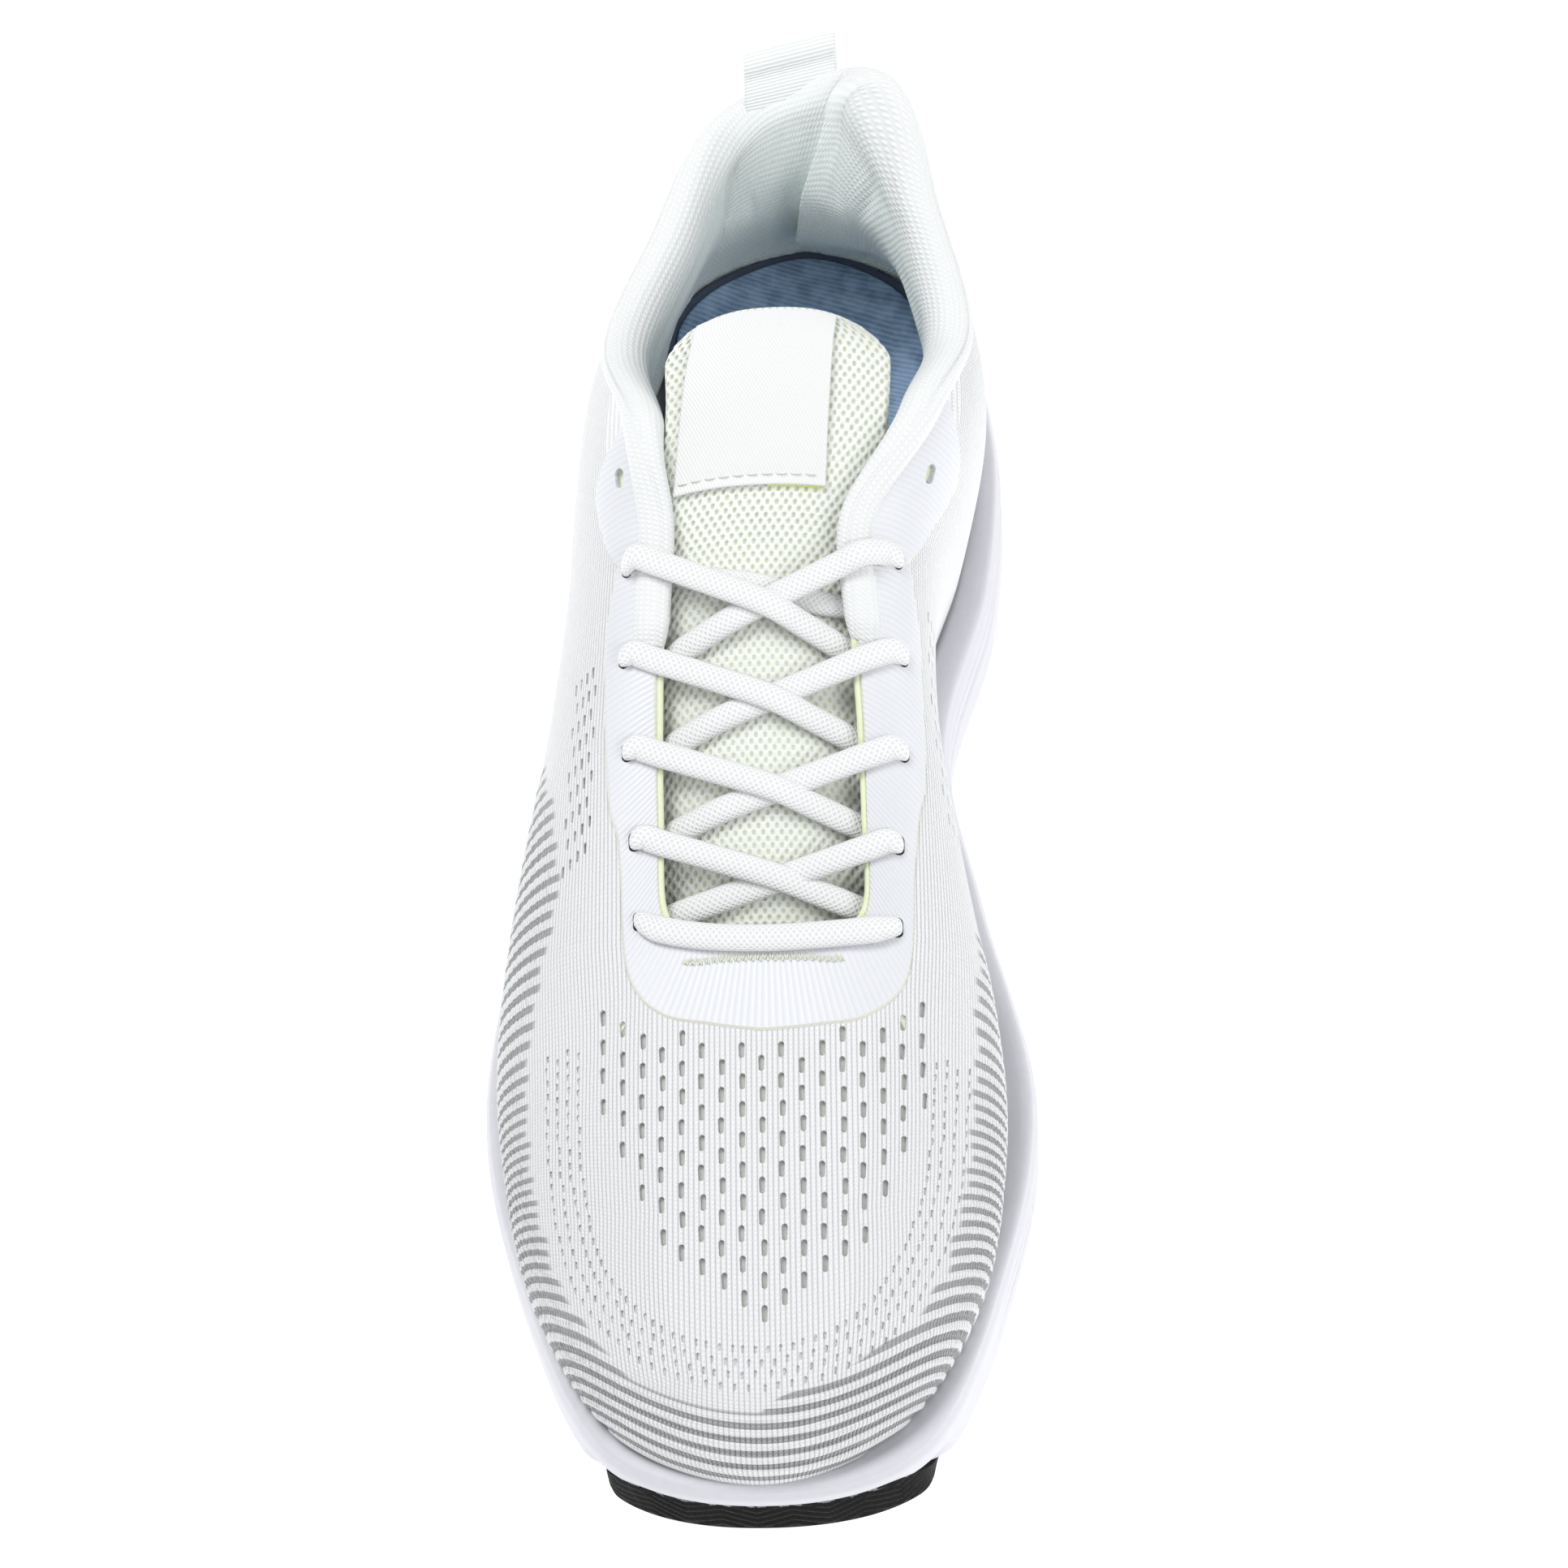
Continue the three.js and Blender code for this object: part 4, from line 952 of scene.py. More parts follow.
# ------------------------------------------------------------------ tongue
TONGUE_CROWN = 2.2               # how late the tongue falls away towards its edges


def tongue_line(v):
    """The tongue's y, z, centre x, half width and drop at v."""
    return np.moveaxis(catmull(TONGUE_LINE, v, False), -1, 0)


def tongue_surface(u, v):
    """The tongue's outer face: u runs -1..1 across, v 0..1 from the throat's front to the top."""
    u, v = np.broadcast_arrays(np.asarray(u, float), np.asarray(v, float))
    y, z, x, half, drop = tongue_line(v)
    sag = drop * np.abs(u) ** TONGUE_CROWN
    back = 2.5 * smooth(0.8, 1, v) * np.abs(u) ** 3
    return np.stack([x + half * top_corner(v) * u, y - back * 0.87, z - sag - back * 0.48], axis=-1)


def top_corner(v):
    """Share of the tongue's width that its rounded top corners leave."""
    return 1 - 0.2 * smooth(0.88, 1, v) ** 2


def tongue_across(x, v):
    """The u at which the tongue's outer face passes x at each v."""
    middle, half = tongue_line(v)[2:4]
    return (x - middle) / (half * top_corner(v))


def tongue_normal(u, v):
    return surface_normals(tongue_surface, u, np.clip(v, 0.004, 0.996), 0.004, 0.003)


def tongue_lengths(v):
    """Distance in mm along the tongue's middle to each v."""
    fine = np.linspace(0, 1, 400)
    middle = tongue_surface(0.0, fine)
    run = run_length(middle)
    return np.interp(v, fine, run)


def hole_depth(across, run):
    """1 on the floors of the spacer mesh's staggered oval holes, 0 on its yarns."""
    columns = np.cos(2 * np.pi * across / TONGUE_HOLE_ACROSS)
    rows = np.cos(2 * np.pi * run / TONGUE_HOLE_ALONG)
    return smooth(0.1, 0.6, columns * rows)


def make_tongue():
    """The spacer mesh with its holes pressed in, over the padding."""
    along_count = 380
    u, v = np.linspace(-1, 1, 170)[:, None], np.linspace(0, 1, along_count)[None, :]
    face, normal = tongue_surface(u, v), tongue_normal(u, v)
    half = tongue_line(v)[3]
    across, run = u * half, tongue_lengths(v) + 0 * u
    holes = hole_depth(across, run) * smooth(1.0, 0.97, np.abs(u)) * smooth(1.0, 0.99, v)
    edge = np.maximum(smooth(0.93, 1.0, np.abs(u)), smooth(0.985, 1.0, v)) + 0 * across
    outer = face - normal * (0.55 * holes + 1.6 * edge ** 2)[..., None]
    inner_pick = np.linspace(0, along_count - 1, 60).round().astype(int)
    inner = (face - normal * 1.9)[:, inner_pick]
    pattern = np.stack([across, run, holes], axis=-1)
    mesh = shell("tongue_mesh_face", outer, inner, pattern=pattern, picked=inner_pick)
    place(mesh, SPACER_MESH, slot="spacer_mesh", stands_for=("tongue_mesh", "tongue_flap_mesh"))
    for piece in (mesh, make_tongue_padding()):
        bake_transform(piece)


def make_tongue_padding():
    """The padded body and lining behind the mesh, swollen as cloth."""
    across_count, along_count = 36, 64
    u = np.linspace(-0.9, 0.9, across_count)[:, None]
    v = np.linspace(0.01, 0.94, along_count)[None, :]
    face, normal = tongue_surface(u, v), tongue_normal(u, v)
    edge = np.maximum(np.abs(u / 0.9) ** 6, smooth(0.86, 0.94, v)) + 0 * u
    thick = mix(5.4, 3.0, edge)
    top, bottom = face - normal * 2.0, face - normal * thick[..., None]
    padding = shell("tongue_padding", top, bottom)
    free = np.zeros(2 * edge.size, bool)
    free[edge.size:] = (edge < 0.4).ravel()
    inflate(padding, free, 1.0, 3.0)
    subdivide(padding)
    return place(padding, TONGUE_LINING, slot="padding_foam", stands_for=(
        "tongue_foam", "tongue_lining", "tongue_flap_foam", "tongue_flap_lining"))


LABEL_FOOT = (-13.8, 17.6)      # x of the label's sides at its lower edge
LABEL_TOP = (-7.8, 20.9)        # and at the tongue's top
LABEL_ROWS = (0.71, 0.985)      # along the tongue
STITCH_LENGTH = 2.1
STITCH_GAP = 0.9


def label_places(width, length):
    """The tongue's (u, v) at shares of the label's width and length; its sides are straight."""
    x = mix(mix(*LABEL_FOOT, width), mix(*LABEL_TOP, width), length)
    v = mix(*LABEL_ROWS, length) + 0 * x
    return tongue_across(x, v), v


def make_label():
    """Blank woven label folded over the tongue's top, with its sewn lower edge."""
    width, length = np.linspace(0, 1, 90)[:, None], np.linspace(0, 1, 90)[None, :]
    u, v = label_places(width, length)
    surface, normal = tongue_surface(u, v), tongue_normal(u, v)
    share = length + 0 * u
    lift = 0.35 + 0.5 * np.sin(np.pi * share) ** 2 + 0.25 * smooth(0.06, 0.0, share)
    half = tongue_line(v)[3]
    pattern = np.stack([u * half, tongue_lengths(v) + 0 * u, share], axis=-1)
    label = shell("tongue_label_fabric", surface + normal * (lift + 0.35)[..., None],
                  surface + normal * lift[..., None], pattern=pattern)
    place(label, LABEL, "tongue_flap", "woven_label", ("tongue_label",))
    places = label_places(np.linspace(0.03, 0.97, 200), 0.05)
    seam, seam_normal = tongue_surface(*places), tongue_normal(*places)
    stitches = stitched_line("label_stitches", seam + seam_normal * 0.95, seam_normal, 0.2)
    place(stitches, THREAD, "tongue_flap", "woven_label")
    places = label_places(np.linspace(0.62, 0.99, 60), 0.0)
    up = tongue_normal(*places)
    tail = tongue_surface(*places) + up * 0.35
    lime = tube("label_lime_thread", tail, np.cross(up, tangents(tail)), up, 0.3, 0.25, 8)
    place(lime, LIME_THREAD, "tongue_flap", "woven_label")


def stitched_line(name, path, normals, radius, length=STITCH_LENGTH, gap=STITCH_GAP):
    """A row of short raised stitches along a path."""
    run = run_length(path)
    stitches = []
    for start in np.arange(0, run[-1] - length, length + gap):
        spots = np.linspace(start, start + length, 7)
        centre, up = resample(path, run, spots), unit(resample(normals, run, spots))
        arch = np.sin(np.linspace(0, np.pi, 7))
        centre = centre + up * (radius * (arch * 1.2 - 0.4))[:, None]
        stitches.append(tube(name, centre, np.cross(up, tangents(centre)), up, radius * (0.6 + 0.5 * arch),
                             radius, 6))
    return join(name, stitches)


def make_base_stitches():
    """Zigzag stitches that hold the tongue's base, across the front of the film."""
    columns = np.linspace(-3.9, 3.9, 90)
    distance = 4.5 + 1.0 * np.abs(columns / 3.9) ** 2
    zigzag = 0.8 * (2 * np.abs(np.arange(90) / 2 % 1 - 0.5) * 2 - 1)
    c = columns % COLUMNS
    surface, normal = on_upper(c, rows_at(c, distance + zigzag))
    path = surface + normal * 0.6
    stitches = stitched_line("tongue_base_stitches", path, normal, 0.22, 1.5, 0.7)
    place(stitches, LIME_STITCH, "shoe", "film")


# ------------------------------------------------------------------ lace
OVER = 0.5 + LACE_HALF_THICKNESS
UNDER = 3.4 + LACE_HALF_THICKNESS
LOW_CROSSING = LACE_HALF_THICKNESS + 0.5
HIGH_CROSSING = LOW_CROSSING + 2 * LACE_HALF_THICKNESS + 0.1
FRONT_BAR = [(-18, -41.3, 68.2), (-9, -43.4, 68.3), (3.5, -44.2, 68.3), (16, -43.8, 68.3), (26, -42.8, 68)]
STRAND_SHARES = np.array([0, 0.12, 0.25, 0.38, 0.5, 0.6, 0.7, 0.8, 0.9, 1.0])


def tongue_height(x, y):
    """Height of the tongue's outer face above (x, y)."""
    line_y, *others = zip(*TONGUE_LINE)
    z, middle, half, drop = (np.interp(y, line_y, values) for values in others)
    return z - drop * abs((x - middle) / half) ** TONGUE_CROWN


def resting_height(x, y):
    """Height of a lace's centre line where it lies on the film, the padded band or the tongue."""
    away = (FRONT[:, 0] - x) ** 2 + (FRONT[:, 1] - y) ** 2
    nearest = int(np.argmin(away))
    if away[nearest] > 0.5:
        return tongue_height(x, y) + LOW_CROSSING
    column = nearest // len(FRONT_ROWS)
    rim = FRONT[(column + 1) * len(FRONT_ROWS) - 1]
    on_band = abs(FRONT_COLUMNS[column]) > 12 and np.linalg.norm(FRONT[nearest] - rim) < 7.5
    return FRONT[nearest, 2] + OVER + (2.0 if on_band else 0.0)


def taut(shares, heights):
    """Heights of a string pulled tight over its supports."""
    keep = [0]
    for k in range(1, len(shares)):
        while len(keep) > 1:
            first, last = keep[-2], keep[-1]
            slope = (heights[k] - heights[first]) / (shares[k] - shares[first])
            if heights[last] > heights[first] + slope * (shares[last] - shares[first]):
                break
            keep.pop()
        keep.append(k)
    return np.interp(shares, shares[keep], heights[keep])


def lace_half(lateral_first):
    """Centre line and half width of one half of the lace, from row 1's eyelet up to the top one."""
    path = []
    for row in range(LACED_ROWS):
        lateral = (row % 2 == 0) == lateral_first
        hole, hole_up = beside_throat(lateral, EYELET_Y[row], EYELET_SETBACK[lateral])
        inwards = np.array([1.0 if lateral else -1.0, 0, 0])
        path.append((hole + hole_up * (OVER - 0.4) + inwards * 0.3, LACE_HALF_WIDTH * 0.7))
        path.append((hole - hole_up * 0.9, 1.2))
        path.append((hole - hole_up * UNDER, 1.8))
        if row < LACED_ROWS - 1:
            path += strand(lateral, row)
    return path


def strand(lateral, row):
    """From under one throat edge, tight over the tongue to the next row's eyelet opposite."""
    start, start_up = beside_throat(lateral, EYELET_Y[row] - 4, 1.5)
    hole = beside_throat(not lateral, EYELET_Y[row + 1], EYELET_SETBACK[not lateral])[0]
    inwards = np.array([-1.0 if lateral else 1.0, 0, 0])
    places = mix(start - start_up * UNDER, hole + inwards * 2.0, STRAND_SHARES[:, None])
    over_other = np.exp(-((STRAND_SHARES - 0.45) / 0.17) ** 2)
    rise = (0.0 if lateral else HIGH_CROSSING - LOW_CROSSING) + (1.4 if row == LACED_ROWS - 2 else 0.0)
    heights = np.array([resting_height(x, y) for x, y, z in places]) + rise * over_other
    heights[0] = places[0, 2]
    places[:, 2] = taut(STRAND_SHARES, heights)
    widths = np.where(STRAND_SHARES > 0, LACE_HALF_WIDTH, LACE_HALF_WIDTH - 0.3)
    return list(zip(places, widths))


def front_bar():
    """Row 1's straight run over the throat's front edge."""
    return [(np.array(place), LACE_HALF_WIDTH) for place in FRONT_BAR]


def lace_tail(lateral):
    """The end of the lace: on the lateral side it crosses below the top X, on the other it is tucked in."""
    y = EYELET_Y[LACED_ROWS - 1]
    exit_point, exit_up = beside_throat(lateral, y - 2, 1.5)
    if not lateral:
        last = exit_point - exit_up * (UNDER + 0.5)
        return [(last, 1.8), (last + np.array([-3, 7, -3]), 1.6), (last + np.array([-4, 14, -5]), 1.4)]
    far, far_up = beside_throat(False, y - 11, 1.5)
    path = [(exit_point - exit_up * (UNDER - 0.4), 2.4)]
    for share in (0.2, 0.5, 0.8):
        point = mix(exit_point, far, share)
        point[2] = tongue_height(point[0], point[1]) + 0.9
        path.append((point, 2.6))
    path.append((far - far_up * (UNDER - 0.2), 2.2))
    return path


def lace_path():
    """Centre line and half width from the lateral aglet over the front bar to the medial one."""
    ends_where_it_starts = LACED_ROWS % 2 == 1
    lateral = lace_half(True) + lace_tail(ends_where_it_starts)
    medial = lace_half(False) + lace_tail(not ends_where_it_starts)
    return lateral[::-1] + front_bar() + medial


def make_lace():
    """The braided lace, swept along its whole path, with an aglet on each end."""
    knots = lace_path()
    points = np.array([p for p, w in knots])
    step = np.linalg.norm(np.diff(points, axis=0), axis=1) ** 0.5
    times = np.concatenate([[0], np.cumsum(step)])
    path = centripetal(points, times, 1300)
    run = np.linspace(0, times[-1], len(path))
    half = np.interp(run, times, [w for p, w in knots])
    tangent = tangents(path)
    lengthwise = np.array([0, 0.9, 0.43])
    wide = unit(lengthwise - tangent * (tangent @ lengthwise)[:, None])
    thick = np.cross(tangent, wide)
    half_thickness = LACE_HALF_THICKNESS * (0.8 + 0.2 * half / LACE_HALF_WIDTH)
    lace = tube("lace_braid", path, wide, thick, half, half_thickness, 24, power=0.85)
    place(lace, LACE, "shoe", "lace_braid", ("lace",))
    for end, name in ((0, "aglet_lateral"), (-1, "aglet_medial")):
        away = unit(path[end] - path[4 if end == 0 else -5])
        spots = path[end] + away * np.linspace(-2, 10, 12)[:, None]
        aglet = tube(f"{name}_sleeve", spots, np.tile(wide[end], (12, 1)), np.tile(thick[end], (12, 1)),
                     1.5, 1.3, 16)
        place(aglet, PLASTIC, "shoe", "aglet_plastic", (name,))


def centripetal(points, times, count):
    """Smooth curve through points at uneven times (a cubic Hermite with Catmull-Rom slopes)."""
    slopes = np.gradient(points, times, axis=0)
    t = np.linspace(0, times[-1], count)
    i = np.clip(np.searchsorted(times, t, side="right") - 1, 0, len(times) - 2)
    width = (times[i + 1] - times[i])[:, None]
    f = ((t - times[i])[:, None]) / width
    a, b = points[i], points[i + 1]
    return (a * (2 * f ** 3 - 3 * f ** 2 + 1) + b * (3 * f ** 2 - 2 * f ** 3)
            + slopes[i] * width * (f ** 3 - 2 * f ** 2 + f) + slopes[i + 1] * width * (f ** 3 - f ** 2))


# ------------------------------------------------------------------ sole
OUTLINE = ([TOE_TIP] + [(low, y) for y, low, high in SOLE_WIDTHS] + [HEEL_TIP]
           + [(high, y) for y, low, high in SOLE_WIDTHS[::-1]])
RING_POINTS = 640
RECESS_DEPTH = 9
RUBBER_INSET = 3.6               # the rubber lies this far in under the midsole
TOE_MIDDLE = (2, -90)            # the bumper's bars stand out away from here


def ring_places(count):
    """Parameters round the outline, closer together at the toe."""
    t = np.linspace(0, 1, count, endpoint=False)
    return t - 0.09 * np.sin(2 * np.pi * t)


def sole_ring(inset, height, count=RING_POINTS):
    """A ring round the sole; inset and height are functions of y, or numbers."""
    t = ring_places(count)
    point = catmull(OUTLINE, t, True)
    tangent = unit(catmull(OUTLINE, t + 1e-3, True) - catmull(OUTLINE, t - 1e-3, True))
    inward = tangent[:, ::-1] * (1, -1)
    y = point[:, 1]
    amount = inset(y) if callable(inset) else inset
    moved = point + inward * np.broadcast_to(amount, y.shape)[:, None]
    z = height(moved[:, 1]) if callable(height) else np.full(len(y), float(height))
    return np.column_stack([moved, z])


def ring_body(name, rings):
    """A closed body through rings, with a strip of quads across its first and last ring."""
    rings = np.array(rings)
    count = rings.shape[1]
    faces = grid_faces(len(rings), count, False, True)
    for start in (0, (len(rings) - 1) * count):
        for i in range(count // 2):
            across = [start + k for k in (i, i + 1, count - i - 1, (count - i) % count)]
            corners = list(dict.fromkeys(across))
            if len(corners) > 2:
                faces.append(corners)
    return fix_normals(mesh_object(name, rings, faces))


def toe_wrap(y):
    """Share of the midsole's height that the toe bumper covers."""
    return smooth(-131, -145.5, y)


def toe_set_back(y):
    """Share of the set-back that makes room for the bumper in the midsole's wall."""
    return smooth(-132, -141, y)


def recess_inset(y):
    """Distance from the outline in to the recess that holds the foot bed."""
    return 9 + 6 * smooth(-100, -135, y)


def foot_bed(y):
    return bite_height(y) - RECESS_DEPTH


def rubber_top(y):
    return ground_height(y) + 3.4


GROOVES = [(7.0, 0.55, 0.9), (12.5, 0.7, 1.1)]     # below the rim, depth, half height


def make_midsole():
    """The foam wall with its side grooves, rolled over at the rim into the recess for the foot bed."""
    def under(y):
        return ground_height(y) + 3.5

    def rim(y):
        return bite_height(y) + 0.2

    def wall_inset(y, share):
        base = 3.2 * smooth(0.35, 0, share) ** 1.5 + 1.2 * smooth(0.75, 1.0, share) ** 2
        set_back = RUBBER_INSET * toe_set_back(y) * smooth(0.62, 0.5, share)
        z = mix(under(y), rim(y), share)
        groove = sum(depth * np.exp(-((rim(y) - z - below) / half) ** 2) for below, depth, half in GROOVES)
        return base + set_back + groove * smooth(-116, -96, y) * smooth(150, 132, y)

    def wall_ring(share, extra, rise):
        return sole_ring(lambda y: wall_inset(y, share) + extra, lambda y: mix(under(y), rim(y), rise))

    wall = 0.94                  # share of the height below the rounded rim
    rings = [wall_ring(share, 0, share) for share in np.linspace(0, wall, 44)]
    for angle in np.linspace(0, np.pi / 2, 7)[1:]:
        rings.append(wall_ring(wall, 1.6 * (1 - np.cos(angle)), mix(wall, 1, np.sin(angle))))
    for extra, fall in ((1.2, 0.15), (2.6, 0.7), (4.0, 1.0)):
        rings.append(sole_ring(lambda y: wall_inset(y, wall) + 1.6 + extra, lambda y: rim(y) - fall))
    rings.append(sole_ring(lambda y: recess_inset(y) + 0.4, lambda y: rim(y) - 1.4))
    rings.append(sole_ring(lambda y: recess_inset(y) + 0.9, foot_bed))
    sole = ring_body("midsole", rings)
    place(sole, MIDSOLE, slot="midsole_foam", stands_for=("midsole_rear", "midsole_toe"))
    bend_at_ball(sole)


HEEL_THICKENING = 4              # extra sockliner thickness under the heel
HEEL_CUP = 9                     # how far the sockliner's rim climbs the heel's lining
# Edge profiles from the underside to the middle of the top: inset, share of the thickness, lift.
SOFT_EDGE = ((0.5, 0, 0), (0, 0.25, 0), (0, 0.75, 0), (0.5, 1, 0), (2.2, 1, 0.1), (6, 1, 0.1),
             (11, 1, 0.1), (16, 1, 0.1))
LIPPED_EDGE = ((0.5, 0, 0), (0, 0.25, 0), (0, 1, 1.4), (0.3, 1, 1.8), (0.9, 1, 1.8), (1.4, 1, 0),
               (6, 1, 0), (11, 1, 0), (16, 1, 0))


def heel_rise(y):
    return HEEL_THICKENING * smooth(20, 90, y)


def cup(y, inset):
    """Height of the heel cup at a distance in from the sockliner's edge."""
    return HEEL_CUP * smooth(108, 134, y) * smooth(15, 0, inset) ** 1.5


def sole_layer(name, extra, low, high, edge, cup_share, look, slot, stands_for):
    """A layer on the foot bed between two heights given along y; cup_share is 1 if it has a heel cup."""
    rings = []
    for inset, share, lift in edge:
        spread = 3.5 * cup_share * smooth(6, 0, inset)
        rings.append(sole_ring(
            lambda y: recess_inset(y) + extra + inset - spread * smooth(112, 138, y),
            lambda y: foot_bed(y) + mix(low(y), high(y), share) + lift + cup_share * cup(y, inset), 320))
    layer = ring_body(name, rings)
    place(layer, look, slot=slot, stands_for=stands_for)
    bend_at_ball(layer)


def make_sole_layers():
    """The strobel sheet, and the sockliner's foam and its twill top."""
    sole_layer("strobel_sheet", 1.6, lambda y: 0.25, lambda y: 2.05, SOFT_EDGE, 0, BOARD,
               "strobel_fleece", ("strobel_board_rear", "strobel_board_toe"))
    sole_layer("sockliner_foam_bed", 0.6, lambda y: 2.3, lambda y: 6.7 + heel_rise(y), LIPPED_EDGE, 1,
               INNER_FOAM, "sockliner_foam", ("sockliner_rear", "sockliner_toe"))
    sole_layer("sockliner_twill_top", 2.3, lambda y: 7.0 + heel_rise(y), lambda y: 8.1 + heel_rise(y),
               SOFT_EDGE, 1, TWILL, "sockliner_twill", ("sockliner_cover_rear", "sockliner_cover_toe"))


def chevrons(x, z):
    """Raised herringbone bars on the toe bumper."""
    fold = np.abs((x / 7.0) % 2 - 1) * 4.0
    return 0.45 * smooth(0.35, 0.65, 0.5 + 0.5 * np.sin(2 * np.pi * (z + fold) / 2.6))


def make_forefoot_rubber():
    """The forefoot outsole, which wraps up over the toe as a bumper."""
    def wall_top(y):
        return mix(rubber_top(y), bite_height(y) - 4.2, toe_wrap(y))

    def inset(y):
        return RUBBER_INSET * (1 - toe_set_back(y))

    rings = [sole_ring(lambda y: inset(y) + 4.0, ground_height),
             sole_ring(lambda y: inset(y) + 1.0, lambda y: ground_height(y) + 0.8)]
    for share in np.linspace(0, 1, 22):
        ring = sole_ring(inset, lambda y: mix(ground_height(y) + 1.6, wall_top(y), share))
        strength = toe_wrap(ring[:, 1]) * smooth(0, 0.12, share) * smooth(1, 0.9, share)
        lift = chevrons(ring[:, 0], ring[:, 2]) * strength
        ring[:, :2] += unit(ring[:, :2] - TOE_MIDDLE) * lift[:, None]
        rings.append(ring)
    rings += [sole_ring(lambda y: inset(y) + 1.2, lambda y: wall_top(y) + 0.3),
              sole_ring(lambda y: inset(y) + 3.0, wall_top),
              sole_ring(lambda y: inset(y) + 4.6, rubber_top)]
    rubber = ring_body("outsole_forefoot_rubber", rings)
    trim(rubber, -200, -8)
    rubber = join("outsole_forefoot_rubber", [rubber, tread_lugs(-94, -12, 9.5)])
    place(rubber, RUBBER, slot="outsole_rubber",
          stands_for=("outsole_forefoot_rear", "outsole_forefoot_toe"))
    bend_at_ball(rubber)


def make_heel_rubber():
    """The rubber under the heel."""
    rings = [sole_ring(7.0, lambda y: ground_height(y) + 0.6),
             sole_ring(4.2, lambda y: ground_height(y) + 1.4),
             sole_ring(RUBBER_INSET, lambda y: ground_height(y) + 2.2),
             sole_ring(RUBBER_INSET, rubber_top), sole_ring(6, rubber_top)]
    rubber = ring_body("outsole_heel_rubber", rings)
    trim(rubber, 24, 200)
    rubber = join("outsole_heel_rubber", [rubber, tread_lugs(32, 112, 10.5)])
    place(rubber, RUBBER, "shoe", "outsole_rubber", ("outsole_heel",))


def trim(obj, low, high):
    """Keeps the part of a closed body between two y values."""
    corners = ((-90, -20), (90, -20), (90, 90), (-90, 90))
    box = [(x, y, z) for x, z in corners for y in (low, high)]
    faces = grid_faces(4, 2, True) + [(0, 2, 4, 6), (1, 3, 5, 7)]
    cut(obj, fix_normals(mesh_object("keep", box, faces, smooth_shaded=False)), "INTERSECT")


def tread_lugs(low, high, pitch):
    """Blunt six-sided lugs on the outsole's underside, down to the ground."""
    lugs = []
    outline = catmull(OUTLINE, ring_places(RING_POINTS), True)
    for row, y in enumerate(np.arange(low, high, pitch * 0.87)):
        near = np.abs(outline[:, 1] - y) < 3
        left, right = outline[near, 0].min() + 9, outline[near, 0].max() - 9
        for x in np.arange(left + (pitch / 2) * (row % 2), right, pitch):
            lugs.append((np.array([x, y, 0.9]), np.array([0, 0, -1.0]), HEELWARDS))
    return prisms(lugs, pitch * 0.36, pitch * 0.36, 0.9, 0.6, sides=6)


# ------------------------------------------------------------------ heel tab
TAB_X, TAB_WIDTH = 11, 20
TAB_TURN = 0.14          # the loop stands a little askew
TAB_TILT = 0.16          # and its medial end stands higher


# The webbing's middle line seen from the side (y, z), from the outside of the heel up and over.
TAB_LINE = [(148.6, 94), (149.0, 100), (149.8, 105), (150.4, 109), (150.0, 112.2), (148.2, 113.4),
            (146.4, 112.6), (144.8, 110.6), (141.6, 108.6), (137.6, 105)]


def make_heel_tab():
    """Folded webbing: two legs sewn over the topline and a loop that stands above it."""
    line = catmull(TAB_LINE, np.linspace(0, 1, 90), False)
    across = np.linspace(-TAB_WIDTH / 2, TAB_WIDTH / 2, 56)
    outward = tangents(line)[:, ::-1] * (1, -1)
    rib = 0.22 * np.abs(np.sin(np.pi * across / 4.4)) ** 0.6
    run = run_length(line)
    rounded = np.minimum(1, (TAB_WIDTH / 2 - np.abs(across)) / 0.6) ** 0.5

    def face(offset):
        yz = line[None] + outward[None] * offset[:, None, None]
        x = TAB_X + across[:, None] + 0 * yz[..., 0]
        turned = yz[..., 0] + TAB_TURN * across[:, None] * smooth(100, 112, yz[..., 1])
        raised = yz[..., 1] + TAB_TILT * across[:, None]
        return np.stack([x, turned, raised], axis=-1)

    pattern = np.stack(np.broadcast_arrays(run[None, :], across[:, None], 0.0), axis=-1)
    loop = shell("heel_tab_webbing", face(0.7 * rounded + rib), face(-0.7 * rounded), pattern=pattern)
    place(loop, WEBBING, slot="webbing", stands_for=("heel_tab_loop", "heel_tab_anchor"))
    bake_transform(loop)


# ------------------------------------------------------------------ build
make_knit()
make_inner_layers()
make_films()
make_throat_edge()
make_collar()
make_tongue()
make_label()
make_base_stitches()
make_lace()
make_midsole()
make_sole_layers()
make_forefoot_rubber()
make_heel_rubber()
make_heel_tab()


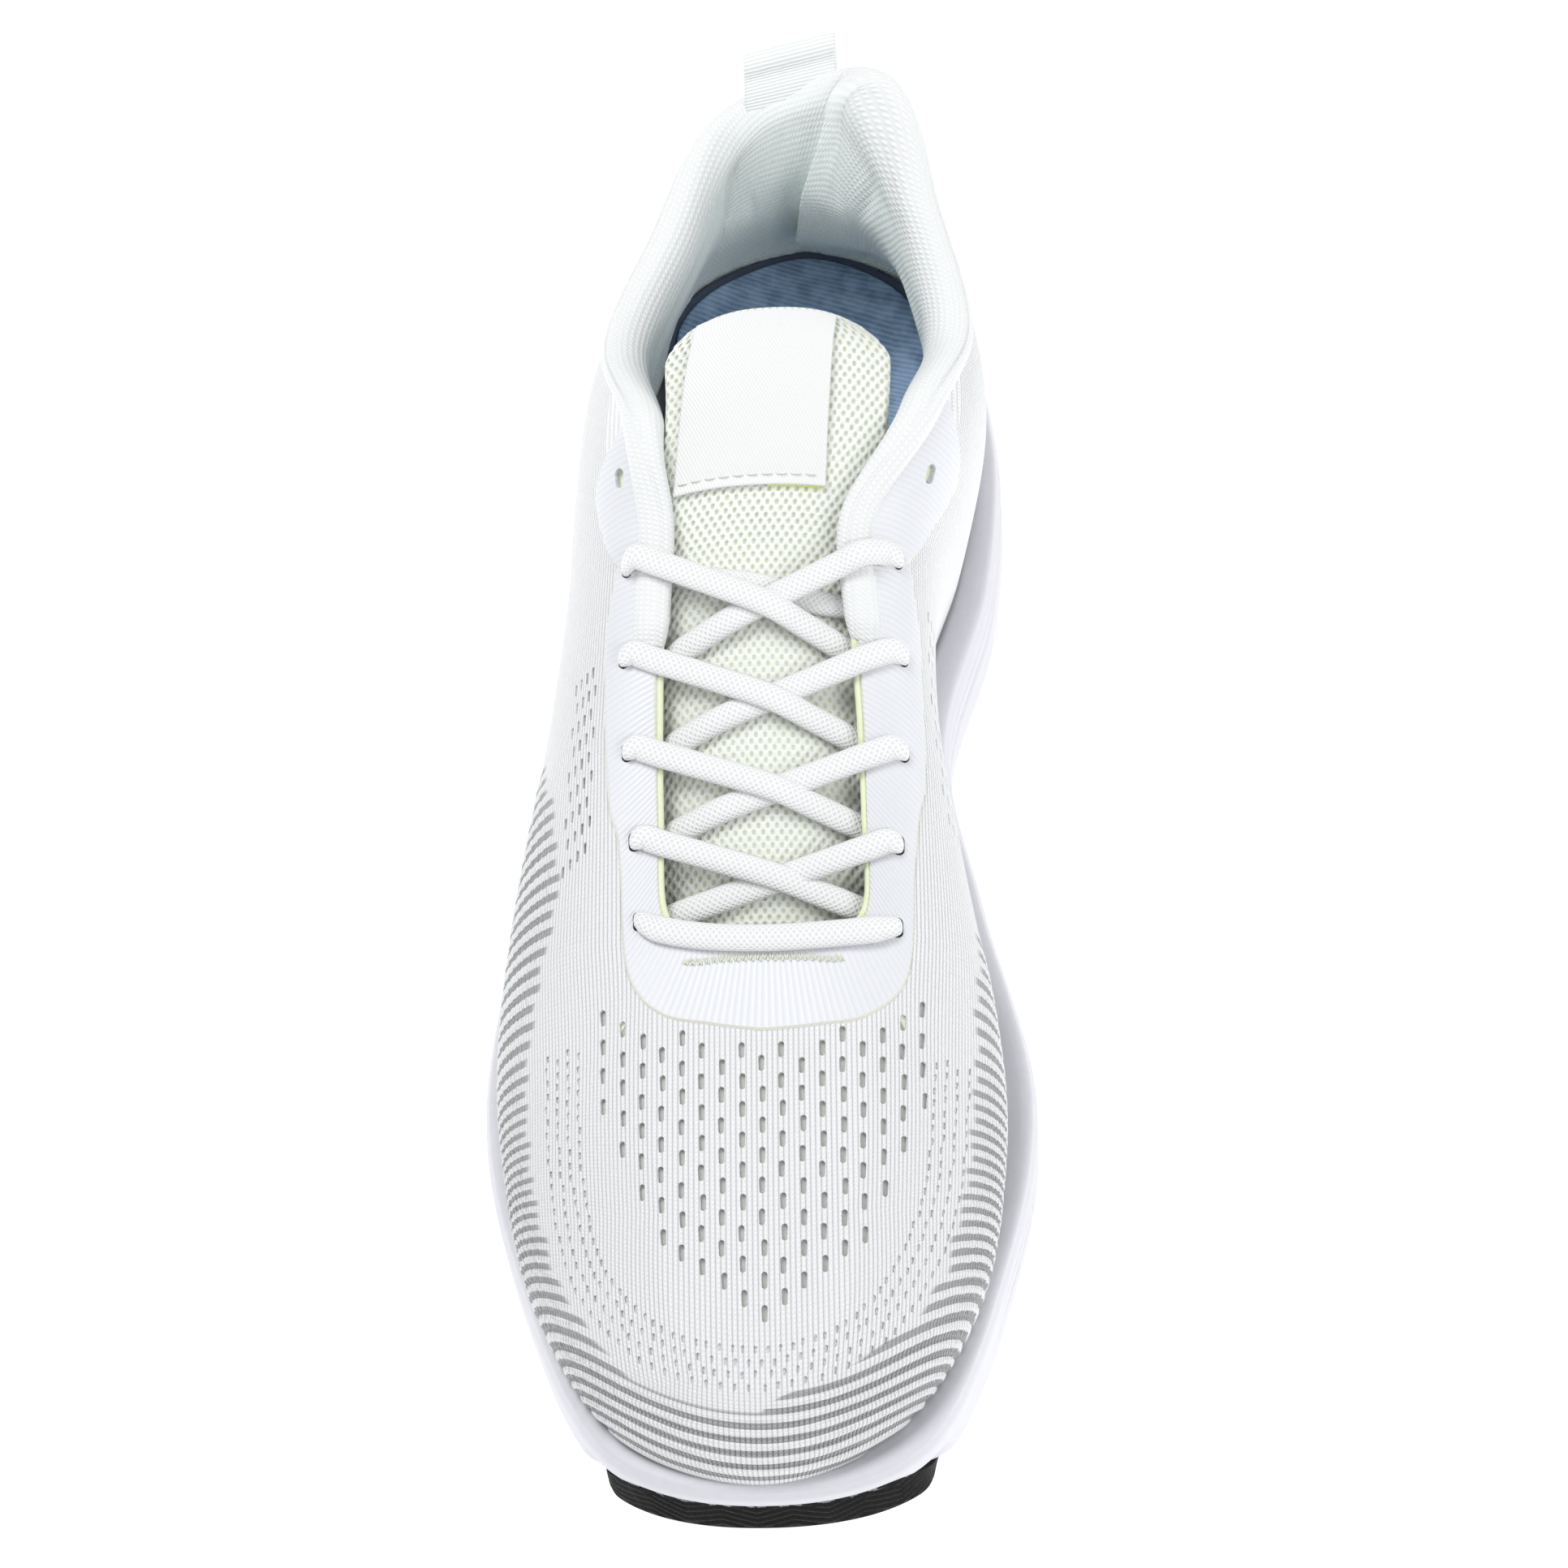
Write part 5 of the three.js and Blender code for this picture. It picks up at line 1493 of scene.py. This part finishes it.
# ------------------------------------------------------------------ stage, light and camera
def make_floor():
    """A plain white floor that glows a little, as a lit studio floor does."""
    floor = mesh_object("floor", [(-4000, -4000, 0), (4000, -4000, 0), (4000, 4000, 0), (-4000, 4000, 0)],
                        [(0, 1, 2, 3)], smooth_shaded=False)
    s = Shader("floor")
    inputs = {"Base Color": grey(0.9), "Roughness": 0.9,
              "Emission Color": grey(1.0), "Emission Strength": 0.75}
    for name, value in inputs.items():
        s.feed(s.surface.inputs[name], value)
    place(floor, s.material)


def area_light(name, position, target, size, energy):
    data = bpy.data.lights.new(name, "AREA")
    data.shape = "DISK"
    data.size = size
    data.energy = energy
    lamp = bpy.data.objects.new(name, data)
    bpy.context.scene.collection.objects.link(lamp)
    lamp.location = position
    lamp.rotation_mode = "QUATERNION"
    lamp.rotation_quaternion = (Vector(target) - Vector(position)).to_track_quat("-Z", "Y")


def make_lights():
    """A pale studio world with a large key lamp behind the shoe and a weaker fill in front."""
    world = bpy.data.worlds.new("studio")
    world.use_nodes = True
    world.node_tree.nodes["Background"].inputs[0].default_value = (0.96, 0.98, 1.0, 1)
    world.node_tree.nodes["Background"].inputs[1].default_value = 0.60
    bpy.context.scene.world = world
    area_light("key", (-0.5, 0.35, 1.3), (0, 0, 0.05), 0.7, 10)
    area_light("fill", (0.9, -0.5, 0.9), (0, 0, 0.05), 0.9, 6)


# Degrees, millimetres, and a focal length for a 36 mm sensor.
CAMERA = {"azimuth": 5.876, "elevation": 58.696, "roll": -6.689, "distance": 918.748,
          "target": (6.48, 2.719, 50.0), "focal": 100.712}
SENSOR_WIDTH = 36


def make_camera():
    """A camera that looks at its target from a distance, turned about its own axis by the roll."""
    azimuth, elevation, roll = (math.radians(CAMERA[k]) for k in ("azimuth", "elevation", "roll"))
    turn = (Matrix.Rotation(azimuth, 3, "Z") @ Matrix.Rotation(math.pi / 2 - elevation, 3, "X")
            @ Matrix.Rotation(roll, 3, "Z"))
    position = (Vector(CAMERA["target"]) + turn @ Vector((0, 0, CAMERA["distance"]))) * MM
    data = bpy.data.cameras.new("camera")
    data.lens = CAMERA["focal"]
    data.sensor_width = SENSOR_WIDTH
    camera = bpy.data.objects.new("camera", data)
    bpy.context.scene.collection.objects.link(camera)
    camera.matrix_world = Matrix.Translation(position) @ turn.to_4x4()
    bpy.context.scene.camera = camera


make_floor()
make_lights()
make_camera()
bpy.context.scene.view_settings.view_transform = "Standard"
